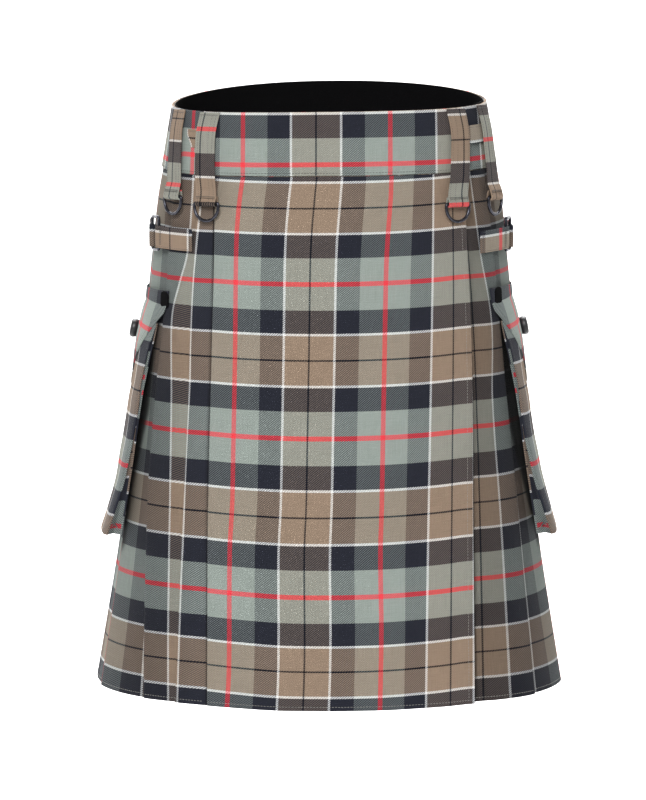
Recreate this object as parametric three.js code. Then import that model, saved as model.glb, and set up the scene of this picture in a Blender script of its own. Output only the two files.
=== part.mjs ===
// A utility kilt as it hangs when it is worn, with nobody in it.
// Sizes are in millimetres. +Z is up, the front faces -Y and +X is on the right of someone who
// looks at the front. The origin is the middle of the waist, level with the front top edge.
import * as THREE from 'three';

// The worn form: half width and half depth of the cloth's outer face, by distance below the waist
const form = [
  { down: 0, halfWidth: 166, halfDepth: 112 },
  { down: 65, halfWidth: 177, halfDepth: 124 },
  { down: 100, halfWidth: 183, halfDepth: 131 },
  { down: 165, halfWidth: 190, halfDepth: 141 },
  { down: 300, halfWidth: 204, halfDepth: 155 },
  { down: 460, halfWidth: 225, halfDepth: 166 },
  { down: 610, halfWidth: 250, halfDepth: 175 },
];
const kiltLength = 610;
const ringSquareness = 2.2;
const backRise = 26;
const riseSharpness = 1.84;
const hemShareOfRise = 0.51;
const sideTilt = 2.2;

// Cloth thicknesses and the clearance left where two pieces are sewn together
const clothThickness = 1.4;
const bandThickness = 3;
const liningThickness = 1;
const strapThickness = 1.6;
const seamGap = 0.3;
const layerStep = 1.9;
const apronInset = 1.3;

// Heights of the waistband and the levels at which the panels below it are measured
const bandHeight = 65;
const bandSeamGap = 0.7;
const bandLevels = [0, 22, 44, bandHeight];
const panelLevels = [bandHeight + bandSeamGap, 100, 165, 230, 300, 375, 455, 535, kiltLength];

// Edges of the panels and folds of the pleats, as distances round the cloth from the front centre
const apronLeft = [
  { down: 65, arc: -123 },
  { down: 150, arc: -123.5 },
  { down: 250, arc: -126 },
  { down: 390, arc: -129 },
  { down: 610, arc: -129 },
];
const apronRight = [
  { down: 65, arc: 149 },
  { down: 130, arc: 152 },
  { down: 200, arc: 155.5 },
  { down: 285, arc: 157 },
  { down: 420, arc: 155.5 },
  { down: 610, arc: 155 },
];
const underApronEnd = -88;
const leftPleatStart = -98;
const leftFolds = [
  [
    { down: 65, arc: -143 },
    { down: 122, arc: -145.5 },
    { down: 194, arc: -149.5 },
    { down: 297, arc: -151.7 },
    { down: 462, arc: -158.5 },
    { down: 610, arc: -159 },
  ],
  [
    { down: 65, arc: -181 },
    { down: 200, arc: -194 },
    { down: 300, arc: -208 },
    { down: 380, arc: -213 },
    { down: 510, arc: -210 },
    { down: 610, arc: -206 },
  ],
  [
    { down: 65, arc: -220.5 },
    { down: 610, arc: -292 },
  ],
];
const rightFolds = [
  [
    { down: 65, arc: 184 },
    { down: 200, arc: 203 },
    { down: 289, arc: 213 },
    { down: 392, arc: 224 },
    { down: 494, arc: 230 },
    { down: 610, arc: 237 },
  ],
  [
    { down: 65, arc: 233.8 },
    { down: 610, arc: 316 },
  ],
];
const backPleatsEachSide = 6;
const backCentreGap = [
  { down: 0, arc: 5 },
  { down: 610, arc: 9 },
];
const pleatUnderlap = 17;

const clothMaterial = new THREE.MeshStandardMaterial({ color: 0x6f6a61, roughness: 0.9 });
const liningMaterial = new THREE.MeshStandardMaterial({ color: 0x070707, roughness: 0.95 });
const metalMaterial = new THREE.MeshStandardMaterial({
  color: 0x2a2a30,
  roughness: 0.28,
  metalness: 0.9,
});
const buttonMaterial = new THREE.MeshStandardMaterial({ color: 0x18181c, roughness: 0.45 });

const kilt = new THREE.Group();

function mix(from, to, share) {
  return from + (to - from) * share;
}

function easedStep(value, from, to) {
  const share = THREE.MathUtils.clamp((value - from) / (to - from), 0, 1);
  return share * share * (3 - 2 * share);
}

// Reads one column of a table at a distance below the waist, as a smooth curve through its rows
function smoothValue(rows, column, down) {
  const last = rows.length - 1;
  if (down <= rows[0].down) return rows[0][column];
  if (down >= rows[last].down) return rows[last][column];
  const row = rows.findIndex((entry) => entry.down > down) - 1;
  const slopeAt = (index) => {
    const before = rows[Math.max(index - 1, 0)];
    const after = rows[Math.min(index + 1, last)];
    return (after[column] - before[column]) / (after.down - before.down);
  };
  const span = rows[row + 1].down - rows[row].down;
  const t = (down - rows[row].down) / span;
  const eased = t * t * (3 - 2 * t);
  const leaving = t * (1 - t) * (1 - t) * span * slopeAt(row);
  const arriving = t * t * (1 - t) * span * slopeAt(row + 1);
  return mix(rows[row][column], rows[row + 1][column], eased) + leaving - arriving;
}

function signedPower(value, power) {
  return Math.sign(value) * Math.abs(value) ** power;
}

// Walks round the form at one level, from the front centre towards +X, and measures as it goes
const ringSteps = 720;
const measuredRings = new Map();
function ringAt(down) {
  if (measuredRings.has(down)) return measuredRings.get(down);
  const halfWidth = smoothValue(form, 'halfWidth', down);
  const halfDepth = smoothValue(form, 'halfDepth', down);
  const stops = [];
  let arc = 0;
  for (let step = 0; step <= ringSteps; step += 1) {
    const turn = (step / ringSteps) * 2 * Math.PI;
    const x = halfWidth * signedPower(Math.sin(turn), 2 / ringSquareness);
    const y = -halfDepth * signedPower(Math.cos(turn), 2 / ringSquareness);
    if (step > 0) arc += Math.hypot(x - stops[step - 1].x, y - stops[step - 1].y);
    stops.push({ x, y, arc, turn });
  }
  const ring = { stops, length: arc };
  measuredRings.set(down, ring);
  return ring;
}

function heightAt(down, turn) {
  const riseShare = mix(1, hemShareOfRise, down / kiltLength);
  const towardsBack = ((1 - Math.cos(turn)) / 2) ** riseSharpness;
  const tilt = sideTilt * Math.sin(turn) * (1 - down / kiltLength);
  return backRise * towardsBack * riseShare + tilt - down;
}

// A point of the form at a level and a distance round it, moved out from its surface, with the
// directions out of the cloth and along it
function placeOnForm(down, arc, out) {
  const { stops, length } = ringAt(down);
  const wrapped = ((arc % length) + length) % length;
  let low = 0;
  let high = ringSteps;
  while (high - low > 1) {
    const middle = (low + high) >> 1;
    if (stops[middle].arc <= wrapped) low = middle;
    else high = middle;
  }
  const before = stops[low];
  const after = stops[high];
  const share = (wrapped - before.arc) / (after.arc - before.arc);
  const along = new THREE.Vector3(after.x - before.x, after.y - before.y, 0).normalize();
  const outward = new THREE.Vector3(along.y, -along.x, 0);
  const height = heightAt(down, mix(before.turn, after.turn, share));
  const point = new THREE.Vector3(mix(before.x, after.x, share), mix(before.y, after.y, share), height);
  return { point: point.addScaledVector(outward, out), outward, along };
}

function edgeArc(edge, down) {
  return smoothValue(edge, 'arc', down);
}

// A closed wall of even thickness on a grid of middle points. Rows may close on themselves.
// Each point's wall direction is mitred between its two neighbours along the row.
const leastMitre = 0.65;
function wallOnGrid(grid, thickness, closed = false) {
  const rowCount = grid.length;
  const columnCount = grid[0].length;
  const positions = [];
  const sideDirection = (row, column) => {
    const nextRow = grid[Math.min(row + 1, rowCount - 1)][column];
    const lastRow = grid[Math.max(row - 1, 0)][column];
    const downRow = nextRow.clone().sub(lastRow);
    const before = closed ? (column + columnCount - 1) % columnCount : Math.max(column - 1, 0);
    const after = closed ? (column + 1) % columnCount : Math.min(column + 1, columnCount - 1);
    const arriving = grid[row][column].clone().sub(grid[row][before]);
    const leaving = grid[row][after].clone().sub(grid[row][column]);
    if (before === column) arriving.copy(leaving);
    if (after === column) leaving.copy(arriving);
    const first = downRow.clone().cross(arriving).normalize();
    const second = downRow.clone().cross(leaving).normalize();
    const middle = first.clone().add(second).normalize();
    return middle.multiplyScalar(1 / Math.max(middle.dot(first), leastMitre));
  };
  for (const side of [1, -1]) {
    grid.forEach((points, row) => {
      points.forEach((point, column) => {
        const direction = sideDirection(row, column);
        const moved = point.clone().addScaledVector(direction, (side * thickness) / 2);
        positions.push(moved.x, moved.y, moved.z);
      });
    });
  }
  const faces = [];
  const outer = (row, column) => row * columnCount + (column % columnCount);
  const inner = (row, column) => outer(row, column) + rowCount * columnCount;
  const quad = (a, b, c, d) => faces.push(a, b, c, a, c, d);
  const spans = closed ? columnCount : columnCount - 1;
  for (let row = 0; row < rowCount - 1; row += 1) {
    for (let c = 0; c < spans; c += 1) {
      quad(outer(row, c), outer(row + 1, c), outer(row + 1, c + 1), outer(row, c + 1));
      quad(inner(row, c), inner(row, c + 1), inner(row + 1, c + 1), inner(row + 1, c));
    }
  }
  const foot = rowCount - 1;
  for (let c = 0; c < spans; c += 1) {
    quad(outer(0, c), outer(0, c + 1), inner(0, c + 1), inner(0, c));
    quad(outer(foot, c), inner(foot, c), inner(foot, c + 1), outer(foot, c + 1));
  }
  if (!closed) {
    const end = columnCount - 1;
    for (let row = 0; row < foot; row += 1) {
      quad(outer(row, 0), inner(row, 0), inner(row + 1, 0), outer(row + 1, 0));
      quad(outer(row, end), outer(row + 1, end), inner(row + 1, end), inner(row, end));
    }
  }
  const geometry = new THREE.BufferGeometry();
  geometry.setAttribute('position', new THREE.Float32BufferAttribute(positions, 3));
  geometry.setIndex(faces);
  return geometry;
}

function addPiece(name, geometry, material, parent = kilt) {
  const mesh = new THREE.Mesh(geometry, material);
  mesh.name = name;
  parent.add(mesh);
  return mesh;
}

// A panel hung on the form. columnsAt(down) gives its places round the form and their insets.
function addPanel(name, levels, columnsAt, thickness, material = clothMaterial, closed = false) {
  const grid = levels.map((down) => {
    const columns = columnsAt(down);
    return columns.map(({ arc, inset }) => placeOnForm(down, arc, -inset).point);
  });
  addPiece(name, wallOnGrid(grid, thickness, closed), material);
}

function evenColumns(from, to, count, insetAt) {
  return Array.from({ length: count + 1 }, (_, index) => {
    const arc = mix(from, to, index / count);
    return { arc, inset: insetAt(arc) };
  });
}

// The waistband is one strip. It starts under the front, passes the right side, the back and the
// left side, and ends at the free edge, over its own beginning.
const bandInset = bandThickness / 2;
const bandOverlap = bandThickness + 0.5;
const bandJoin = { from: 158, to: 196 };
const bandColumns = 78;
function buildWaistband() {
  addPanel('waistband', bandLevels, (down) => {
    const start = underApronEnd;
    const end = ringAt(down).length + edgeArc(apronRight, down);
    const insetAt = (arc) => {
      return bandInset + bandOverlap * (1 - easedStep(arc, bandJoin.from, bandJoin.to));
    };
    return evenColumns(start, end, bandColumns, insetAt);
  }, bandThickness);
}

// The black lining is a plain ring that lies inside the band and passes behind its overlap
const liningLevels = [1.5, bandHeight - 4];
const liningColumns = 60;
const liningStep = { leftFrom: -150, leftTo: -105, rightFrom: 178, rightTo: 232, extra: 0.4 };
function buildWaistLining() {
  const clear = bandThickness + 2 * seamGap + liningThickness / 2;
  addPanel('waist_lining', liningLevels, (down) => {
    const { length } = ringAt(down);
    return evenColumns(0, length, liningColumns, (arc) => {
      const fromFront = arc > length / 2 ? arc - length : arc;
      const onLeft = easedStep(fromFront, liningStep.leftFrom, liningStep.leftTo);
      const onRight = 1 - easedStep(fromFront, liningStep.rightFrom, liningStep.rightTo);
      return clear + (bandOverlap + liningStep.extra) * onLeft * onRight;
    }).slice(0, -1);
  }, liningThickness, liningMaterial, true);
}

// Aprons: the front one ends in a free edge on the right, and the other passes under it
const apronColumns = 16;
const apronShadowGap = 2.6;
const underApronDip = { starts: 70, deepest: 5, rises: 6, endsBeforeFold: 10, columns: 18 };
const underApronWave = { depth: 1.3, length: 62, from: 120 };
function buildFrontApron() {
  addPanel('front_apron', panelLevels, (down) => {
    return evenColumns(edgeArc(apronLeft, down), edgeArc(apronRight, down), apronColumns, () => apronInset);
  }, clothThickness);
}

function underApronInset(arc, down) {
  const freeEdge = edgeArc(apronRight, down);
  const fold = edgeArc(rightFolds[0], down);
  const { starts, deepest, rises, endsBeforeFold } = underApronDip;
  const nearEdge = easedStep(arc, freeEdge - starts, freeEdge - deepest);
  const outAgain = easedStep(arc, freeEdge + rises, fold - endsBeforeFold);
  const { depth, length, from } = underApronWave;
  const wave = depth * easedStep(down, from, kiltLength) * nearEdge * (1 - outAgain);
  const rippled = wave * (1 + Math.cos((2 * Math.PI * (arc - freeEdge)) / length));
  const under = apronInset + layerStep + apronShadowGap * nearEdge;
  return mix(under, apronInset, outAgain) + rippled;
}

function buildUnderApron() {
  addPanel('under_apron', panelLevels, (down) => {
    const fold = edgeArc(rightFolds[0], down);
    const insetAt = (arc) => underApronInset(arc, down);
    const columns = evenColumns(underApronEnd, fold, underApronDip.columns, insetAt);
    const turn = fold - pleatUnderlap;
    columns.push({ arc: fold, inset: apronInset + layerStep });
    columns.push({ arc: turn, inset: insetAt(turn) + layerStep });
    return columns;
  }, clothThickness);
}

// Knife pleats. Every face comes out from under the fold before it and ends in its own fold, which
// lies two layers of cloth further out. way is 1 for folds that point to +arc and -1 for the others.
function pleatColumns({ way, start, emerge, folds, faceColumns }) {
  const columns = [start];
  const depthAt = (place, face) => {
    const share = (face.end - place) / (face.end - face.begin);
    return apronInset + face.depth * share;
  };
  let face = { begin: emerge.arc, end: folds[0], depth: emerge.inset - apronInset };
  folds.forEach((fold, index) => {
    if (index > 0) {
      const hidden = face.end - way * pleatUnderlap;
      columns.push({ arc: hidden, inset: depthAt(hidden, face) + 2 * layerStep });
      face = { begin: face.end, end: fold, depth: 2 * layerStep };
    }
    for (let part = 0; part <= faceColumns; part += 1) {
      const place = mix(face.begin, face.end, part / faceColumns);
      columns.push({ arc: place, inset: depthAt(place, face) });
    }
    columns.push({ arc: fold, inset: apronInset + layerStep });
    const turn = fold - way * pleatUnderlap;
    columns.push({ arc: turn, inset: depthAt(turn, face) + layerStep });
  });
  return columns;
}

// Where a new piece starts, hidden under the last fold of the piece before it
function startUnderFold(lastBegin, fold, way) {
  const share = pleatUnderlap / Math.abs(fold - lastBegin);
  return {
    start: { arc: fold - way * pleatUnderlap, inset: apronInset + 2 * layerStep * (share + 1) },
    emerge: { arc: fold, inset: apronInset + 2 * layerStep },
  };
}

function buildLeftSidePleats() {
  addPanel('left_side_pleats', panelLevels, (down) => {
    const start = { arc: leftPleatStart, inset: apronInset + layerStep };
    const emerge = { arc: edgeArc(apronLeft, down), inset: apronInset + layerStep };
    const folds = leftFolds.map((fold) => edgeArc(fold, down));
    return pleatColumns({ way: -1, start, emerge, folds, faceColumns: 3 }).reverse();
  }, clothThickness);
}

function buildRightSidePleats() {
  addPanel('right_side_pleats', panelLevels, (down) => {
    const [first, second] = rightFolds.map((fold) => edgeArc(fold, down));
    const hidden = first - pleatUnderlap;
    const start = { arc: hidden, inset: underApronInset(hidden, down) + 2 * layerStep };
    const emerge = { arc: first, inset: apronInset + 2 * layerStep };
    return pleatColumns({ way: 1, start, emerge, folds: [second], faceColumns: 4 });
  }, clothThickness);
}

function spreadFolds(start, end) {
  return Array.from({ length: backPleatsEachSide }, (_, index) => {
    return mix(start, end, (index + 1) / backPleatsEachSide);
  });
}

function buildBackPleats() {
  addPanel('back_pleats', panelLevels, (down) => {
    const { length } = ringAt(down);
    const halfGap = edgeArc(backCentreGap, down);
    const [rightBefore, rightLast] = rightFolds.map((fold) => edgeArc(fold, down));
    const [, leftBefore, leftLast] = leftFolds.map((fold) => length + edgeArc(fold, down));
    const rightHalf = pleatColumns({
      way: 1,
      ...startUnderFold(rightBefore, rightLast, 1),
      folds: spreadFolds(rightLast, length / 2 - halfGap),
      faceColumns: 1,
    });
    const leftHalf = pleatColumns({
      way: -1,
      ...startUnderFold(leftBefore, leftLast, -1),
      folds: spreadFolds(leftLast, length / 2 + halfGap),
      faceColumns: 1,
    }).reverse();
    const rightInner = rightHalf[rightHalf.length - 1];
    const leftInner = leftHalf[0];
    const centre = [rightInner, leftInner].map(({ arc, inset }) => ({ arc, inset: inset + layerStep }));
    return [...rightHalf, ...centre, ...leftHalf];
  }, clothThickness);
}

// Hanging straps with D-rings. Each strap comes down from the top edge, passes round the ring's
// straight bar and is sewn to itself just above it.
const dRing = { halfWidth: 14.5, leg: 4, wire: 1.5, cornerRadius: 2, swingOut: 2 };
const strapWidth = 25;
const barOut = 6;
const barClearance = 0.6;
const strapTack = { up: 8, out: 0.9 };
const strapEnd = { up: 7, out: -1.6 };
const loopParts = 6;
const hangingStraps = [
  { name: 'left_near', topArc: -128.5, barArc: -128.6, barDown: 93, sideBow: -4.4 },
  { name: 'left_far', topArc: -176, barArc: -174, barDown: 88.6, sideBow: -2.5 },
  { name: 'right_near', topArc: 138, barArc: 135.2, barDown: 96.5, sideBow: 5 },
  { name: 'right_far', topArc: 182.5, barArc: 191, barDown: 94, sideBow: 4 },
];
// Levels are shares of the way down to the bar
const strapRows = [
  { share: 0.0055, out: 1.25, bow: 0 },
  { share: 0.237, out: 3.2, bow: 0.85 },
  { share: 0.473, out: 3.4, bow: 1 },
  { share: 0.71, out: 4, bow: 0.8 },
  { share: 0.839, out: 4.6, bow: 0.4 },
];

function loopAngles() {
  return Array.from({ length: loopParts + 1 }, (_, index) => (Math.PI * index) / loopParts);
}

function buildHangingStrap({ name, topArc, barArc, barDown, sideBow }) {
  const bar = placeOnForm(barDown, barArc, barOut);
  const up = new THREE.Vector3(0, 0, 1);
  const stops = strapRows.map(({ share, out, bow }) => {
    const arc = mix(topArc, barArc, share) + sideBow * bow;
    return placeOnForm(barDown * share, arc, out);
  });
  const radius = dRing.wire + barClearance + strapThickness / 2;
  const fromBar = ({ up: rise, out }) => {
    return bar.point.clone().addScaledVector(bar.outward, out).addScaledVector(up, rise);
  };
  const addAtBar = (point) => stops.push({ point, along: bar.along });
  addAtBar(fromBar(strapTack));
  for (const angle of loopAngles()) {
    const turned = bar.point.clone().addScaledVector(bar.outward, radius * Math.cos(angle));
    addAtBar(turned.addScaledVector(up, -radius * Math.sin(angle)));
  }
  addAtBar(fromBar(strapEnd));
  const grid = [strapWidth / 2, -strapWidth / 2].map((across) => {
    return stops.map(({ point, along }) => point.clone().addScaledVector(along, across));
  });
  addPiece(`strap_${name}`, wallOnGrid(grid, strapThickness), clothMaterial);
  addPiece(`d_ring_${name}`, wireLoop(dRingOutline(), dRing.wire), metalMaterial, ringGroup(bar));
}

// The ring's own group has X along the bar, Y out of the cloth and Z up
function ringGroup(bar) {
  const group = new THREE.Group();
  const up = new THREE.Vector3(0, 0, 1);
  group.matrixAutoUpdate = false;
  group.matrix.makeBasis(bar.along.clone().negate(), bar.outward, up);
  group.matrix.multiply(new THREE.Matrix4().makeRotationX(THREE.MathUtils.degToRad(dRing.swingOut)));
  group.matrix.setPosition(bar.point);
  kilt.add(group);
  return group;
}

// A D in the XZ plane with its straight bar on the X axis
function dRingOutline() {
  const { halfWidth, leg, cornerRadius } = dRing;
  const outline = new THREE.Path();
  outline.moveTo(-halfWidth + cornerRadius, 0);
  outline.lineTo(halfWidth - cornerRadius, 0);
  outline.absarc(halfWidth - cornerRadius, -cornerRadius, cornerRadius, Math.PI / 2, 0, true);
  outline.lineTo(halfWidth, -leg);
  outline.absarc(0, -leg, halfWidth, 0, Math.PI, true);
  outline.lineTo(-halfWidth, -cornerRadius);
  outline.absarc(-halfWidth + cornerRadius, -cornerRadius, cornerRadius, Math.PI, Math.PI / 2, true);
  return spacedLoop(outline.getPoints(7));
}

// Drops points that nearly touch the one before, and lays the loop in the XZ plane
const leastStep = 0.75;
function spacedLoop(points) {
  const kept = [points[0]];
  for (const point of points) {
    const farEnough = point.distanceTo(kept[kept.length - 1]) > leastStep;
    if (farEnough && point.distanceTo(kept[0]) > leastStep) kept.push(point);
  }
  return kept.map((point) => new THREE.Vector3(point.x, 0, point.y));
}

// Round wire along a closed flat outline in the XZ plane
const wireSides = 8;
function wireLoop(outline, radius) {
  const count = outline.length;
  const flat = new THREE.Vector3(0, 1, 0);
  const positions = [];
  outline.forEach((point, index) => {
    const before = point.clone().sub(outline[(index + count - 1) % count]).normalize();
    const after = outline[(index + 1) % count].clone().sub(point).normalize();
    const across = before.add(after).normalize().cross(flat);
    for (let side = 0; side < wireSides; side += 1) {
      const angle = (2 * Math.PI * (side + 0.5)) / wireSides;
      const moved = point.clone().addScaledVector(across, radius * Math.cos(angle));
      moved.addScaledVector(flat, radius * Math.sin(angle));
      positions.push(moved.x, moved.y, moved.z);
    }
  });
  const faces = [];
  for (let step = 0; step < count; step += 1) {
    const next = (step + 1) % count;
    for (let side = 0; side < wireSides; side += 1) {
      const nextSide = (side + 1) % wireSides;
      const a = step * wireSides + side;
      const b = next * wireSides + side;
      const c = next * wireSides + nextSide;
      const d = step * wireSides + nextSide;
      faces.push(a, b, c, a, c, d);
    }
  }
  const geometry = new THREE.BufferGeometry();
  geometry.setAttribute('position', new THREE.Float32BufferAttribute(positions, 3));
  geometry.setIndex(faces);
  return geometry;
}

// Short tabs of the same cloth that lie on the band under the hanging straps
const sideTab = { top: 19, height: 18.5, thickness: 1.2, out: 1, columns: 7 };
const sideTabs = [
  { name: 'side_tab_left', from: -160.5, to: -124 },
  { name: 'side_tab_right', from: 134, to: 190 },
];
function buildSideTab({ name, from, to }) {
  const levels = [sideTab.top, sideTab.top + sideTab.height];
  const columnsAt = () => evenColumns(from, to, sideTab.columns, () => -sideTab.out);
  addPanel(name, levels, columnsAt, sideTab.thickness);
}

// Hip straps: a front strap and a rear strap, both looped round an upright rectangular ring
const hip = { height: 23, out: 1.8, barOut: 5.4 };
const hipTurn = { before: 14, parts: 3, lift: 1.5, rise: 2.1, back: 9 };
const hipRing = { halfHeight: 17, halfLength: 9, wire: 1.7, cornerRadius: 3, above: 3.2 };
const hipSides = [
  { name: 'left', way: -1, down: 132.5, frontArc: 149.5, ringArc: 207, rearArc: 282 },
  { name: 'right', way: 1, down: 138.5, frontArc: 169.2, ringArc: 223, rearArc: 298 },
];

// A strap that lies on the cloth from its sewn end and turns back round one of the ring's bars
function hipStrapGrid(sewnArc, barPoint, ringFrame, towards) {
  const hipPlace = (arc, out) => placeOnForm(ringFrame.down, arc, out);
  const radius = hipRing.wire + barClearance + strapThickness / 2;
  const lastArc = ringFrame.arc - towards * (hipRing.halfLength + hipTurn.before);
  const middles = [];
  for (let part = 0; part < hipTurn.parts; part += 1) {
    const share = part / hipTurn.parts;
    middles.push(hipPlace(mix(sewnArc, lastArc, share), hip.out + hipTurn.lift * share).point);
  }
  middles.push(hipPlace(lastArc, hip.out + hipTurn.rise).point);
  const along = ringFrame.along.clone().multiplyScalar(towards);
  for (const angle of loopAngles()) {
    const turned = barPoint.clone().addScaledVector(ringFrame.outward, radius * Math.cos(angle));
    middles.push(turned.addScaledVector(along, radius * Math.sin(angle)));
  }
  const end = barPoint.clone().addScaledVector(ringFrame.outward, -radius);
  middles.push(end.addScaledVector(along, -hipTurn.back));
  const halfUp = new THREE.Vector3(0, 0, hip.height / 2);
  const rows = [1, -1].map((side) => middles.map((point) => point.clone().addScaledVector(halfUp, side)));
  return towards > 0 ? rows : rows.map((row) => row.slice().reverse());
}

function buildHipSide({ name, way, down, frontArc, ringArc, rearArc }) {
  const frame = placeOnForm(down, way * ringArc, hip.barOut);
  frame.arc = way * ringArc;
  frame.down = down;
  const frontBar = frame.point.clone().addScaledVector(frame.along, -way * hipRing.halfLength);
  const rearBar = frame.point.clone().addScaledVector(frame.along, way * hipRing.halfLength);
  const frontGrid = hipStrapGrid(way * frontArc, frontBar, frame, way);
  const rearGrid = hipStrapGrid(way * rearArc, rearBar, frame, -way);
  addPiece(`hip_strap_${name}`, wallOnGrid(frontGrid, strapThickness), clothMaterial);
  addPiece(`hip_strap_rear_${name}`, wallOnGrid(rearGrid, strapThickness), clothMaterial);
  const group = new THREE.Group();
  group.matrixAutoUpdate = false;
  group.matrix.makeBasis(frame.along.clone().negate(), frame.outward, new THREE.Vector3(0, 0, 1));
  group.matrix.setPosition(frame.point.clone().setZ(frame.point.z + hipRing.above));
  kilt.add(group);
  addPiece(`hip_ring_${name}`, wireLoop(hipRingOutline(), hipRing.wire), metalMaterial, group);
}

function hipRingOutline() {
  const { halfHeight, halfLength, cornerRadius } = hipRing;
  const outline = new THREE.Path();
  const across = halfLength - cornerRadius;
  const upright = halfHeight - cornerRadius;
  outline.absarc(across, upright, cornerRadius, Math.PI / 2, 0, true);
  outline.absarc(across, -upright, cornerRadius, 0, -Math.PI / 2, true);
  outline.absarc(-across, -upright, cornerRadius, -Math.PI / 2, -Math.PI, true);
  outline.absarc(-across, upright, cornerRadius, Math.PI, Math.PI / 2, true);
  return spacedLoop(outline.getPoints(3));
}

// Cargo pockets. At the top they follow the hip's curve, and further down they hang flatter.
const pocketRows = [
  { down: 226, depth: 7.4, halfWidth: 81 },
  { down: 262, depth: 7.6, halfWidth: 83 },
  { down: 305, depth: 7.9, halfWidth: 85 },
  { down: 350, depth: 8.3, halfWidth: 86 },
  { down: 391, depth: 9.6, halfWidth: 86 },
  { down: 420, depth: 13, halfWidth: 86 },
  { down: 448, depth: 18.5, halfWidth: 85 },
];
const pocketWrap = [
  { down: 191, share: 1 },
  { down: 225, share: 0.96 },
  { down: 262, share: 0.72 },
  { down: 305, share: 0.5 },
  { down: 391, share: 0.4 },
  { down: 448, share: 0.33 },
];
const pocket = {
  thickness: 1.2,
  behindSide: 9,
  standOff: 1.6,
  gussetClear: 1.9,
  bellows: 1.25,
  rootFold: 1.4,
  columns: 8,
};
const flap = {
  top: 191.5,
  rootOut: 1.4,
  cornerDrop: 19.5,
  tipDrop: 90.5,
  overMouth: { from: 8, to: 26 },
  cornerRest: 0.65,
  clearance: 1.8,
  halfWidth: 89,
  columns: 12,
};
const pocketButton = { radius: 9.5, height: 5, aboveTip: 43.6, standOff: 0.6 };

// A place on a pocket: how far across it from its middle line, and how far out of the kilt's side
function pocketPlace(way, down, across, out) {
  const halfWidth = smoothValue(form, 'halfWidth', down);
  const halfDepth = smoothValue(form, 'halfDepth', down);
  const y = pocket.behindSide + across;
  const depthShare = Math.abs(y / halfDepth) ** ringSquareness;
  const onForm = halfWidth * (1 - depthShare) ** (1 / ringSquareness);
  const x = mix(halfWidth, onForm, smoothValue(pocketWrap, 'share', down)) + pocket.standOff + out;
  return new THREE.Vector3(way * x, y, heightAt(down, (way * Math.PI) / 2));
}

function pocketPanelGrid(way, outAt) {
  return pocketRows.map(({ down, halfWidth, depth }) => {
    return Array.from({ length: pocket.columns + 1 }, (_, index) => {
      const across = mix(-halfWidth, halfWidth, index / pocket.columns);
      return pocketPlace(way, down, across, outAt(depth));
    });
  });
}

// The shares that cut a length in a number of even parts, without its two ends
function evenShares(parts) {
  return Array.from({ length: parts - 1 }, (_, index) => (index + 1) / parts);
}

// The gusset runs down the front edge, along the bottom and up the rear edge. Between the pocket's
// back and its front it is folded inwards, like bellows, and deeper where the pocket is deeper.
function gussetGrid(way) {
  const { gussetClear: clear, bellows, rootFold } = pocket;
  const edge = (side) => pocketRows.map(({ down, halfWidth, depth }) => {
    return { down, depth, across: side * halfWidth, inwards: -side, upwards: 0 };
  });
  const front = edge(-1);
  const rear = edge(1).reverse();
  const corner = front[front.length - 1];
  corner.upwards = 1;
  rear[0].upwards = 1;
  const bottom = evenShares(pocket.columns).map((share) => {
    return { ...corner, across: mix(corner.across, rear[0].across, share), inwards: 0 };
  });
  const path = [...front, ...bottom, ...rear];
  const profile = [
    { outAt: () => clear, deepens: 0 },
    { outAt: (depth) => depth / 2, deepens: bellows },
    { outAt: (depth) => depth - clear, deepens: 0 },
  ];
  return profile.map(({ outAt, deepens }) => {
    return path.map(({ down, depth, across, inwards, upwards }) => {
      const folded = rootFold + deepens * (depth / 2 - clear);
      return pocketPlace(way, down - folded * upwards, across + folded * inwards, outAt(depth));
    });
  });
}

function flapGrid(way) {
  const across = [-1, ...evenShares(flap.columns).map((share) => 2 * share - 1), 1];
  const along = [0, 0.12, 0.24, 0.4, 0.7, 1];
  return along.map((share) => {
    return across.map((side) => {
      const drop = mix(flap.tipDrop, flap.cornerDrop, Math.abs(side));
      const down = flap.top + drop * share;
      const depth = smoothValue(pocketRows, 'depth', down);
      const over = depth + pocket.thickness + flap.clearance;
      const atCorner = flap.cornerRest * easedStep(Math.abs(side), 0.72, 1);
      const reach = easedStep(drop * share, flap.overMouth.from, flap.overMouth.to) * (1 - atCorner);
      return pocketPlace(way, down, side * flap.halfWidth, mix(flap.rootOut, over, reach));
    });
  });
}

function buildButton(name, way) {
  const { radius, height, aboveTip, standOff } = pocketButton;
  const down = flap.top + flap.tipDrop - aboveTip;
  const depth = smoothValue(pocketRows, 'depth', down);
  const face = depth + pocket.thickness + flap.clearance + pocket.thickness / 2 + standOff;
  const profile = [
    new THREE.Vector2(0, 0),
    new THREE.Vector2(radius * 0.86, 0),
    new THREE.Vector2(radius, height * 0.35),
    new THREE.Vector2(radius * 0.9, height * 0.8),
    new THREE.Vector2(radius * 0.55, height),
    new THREE.Vector2(0, height),
  ];
  const button = addPiece(name, new THREE.LatheGeometry(profile, 20), buttonMaterial);
  const above = pocketPlace(way, down - radius, 0, face);
  const below = pocketPlace(way, down + radius, 0, face);
  const outward = below.sub(above).cross(new THREE.Vector3(0, way, 0)).normalize();
  button.quaternion.setFromUnitVectors(new THREE.Vector3(0, 1, 0), outward);
  button.position.copy(pocketPlace(way, down, 0, face));
}

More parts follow.
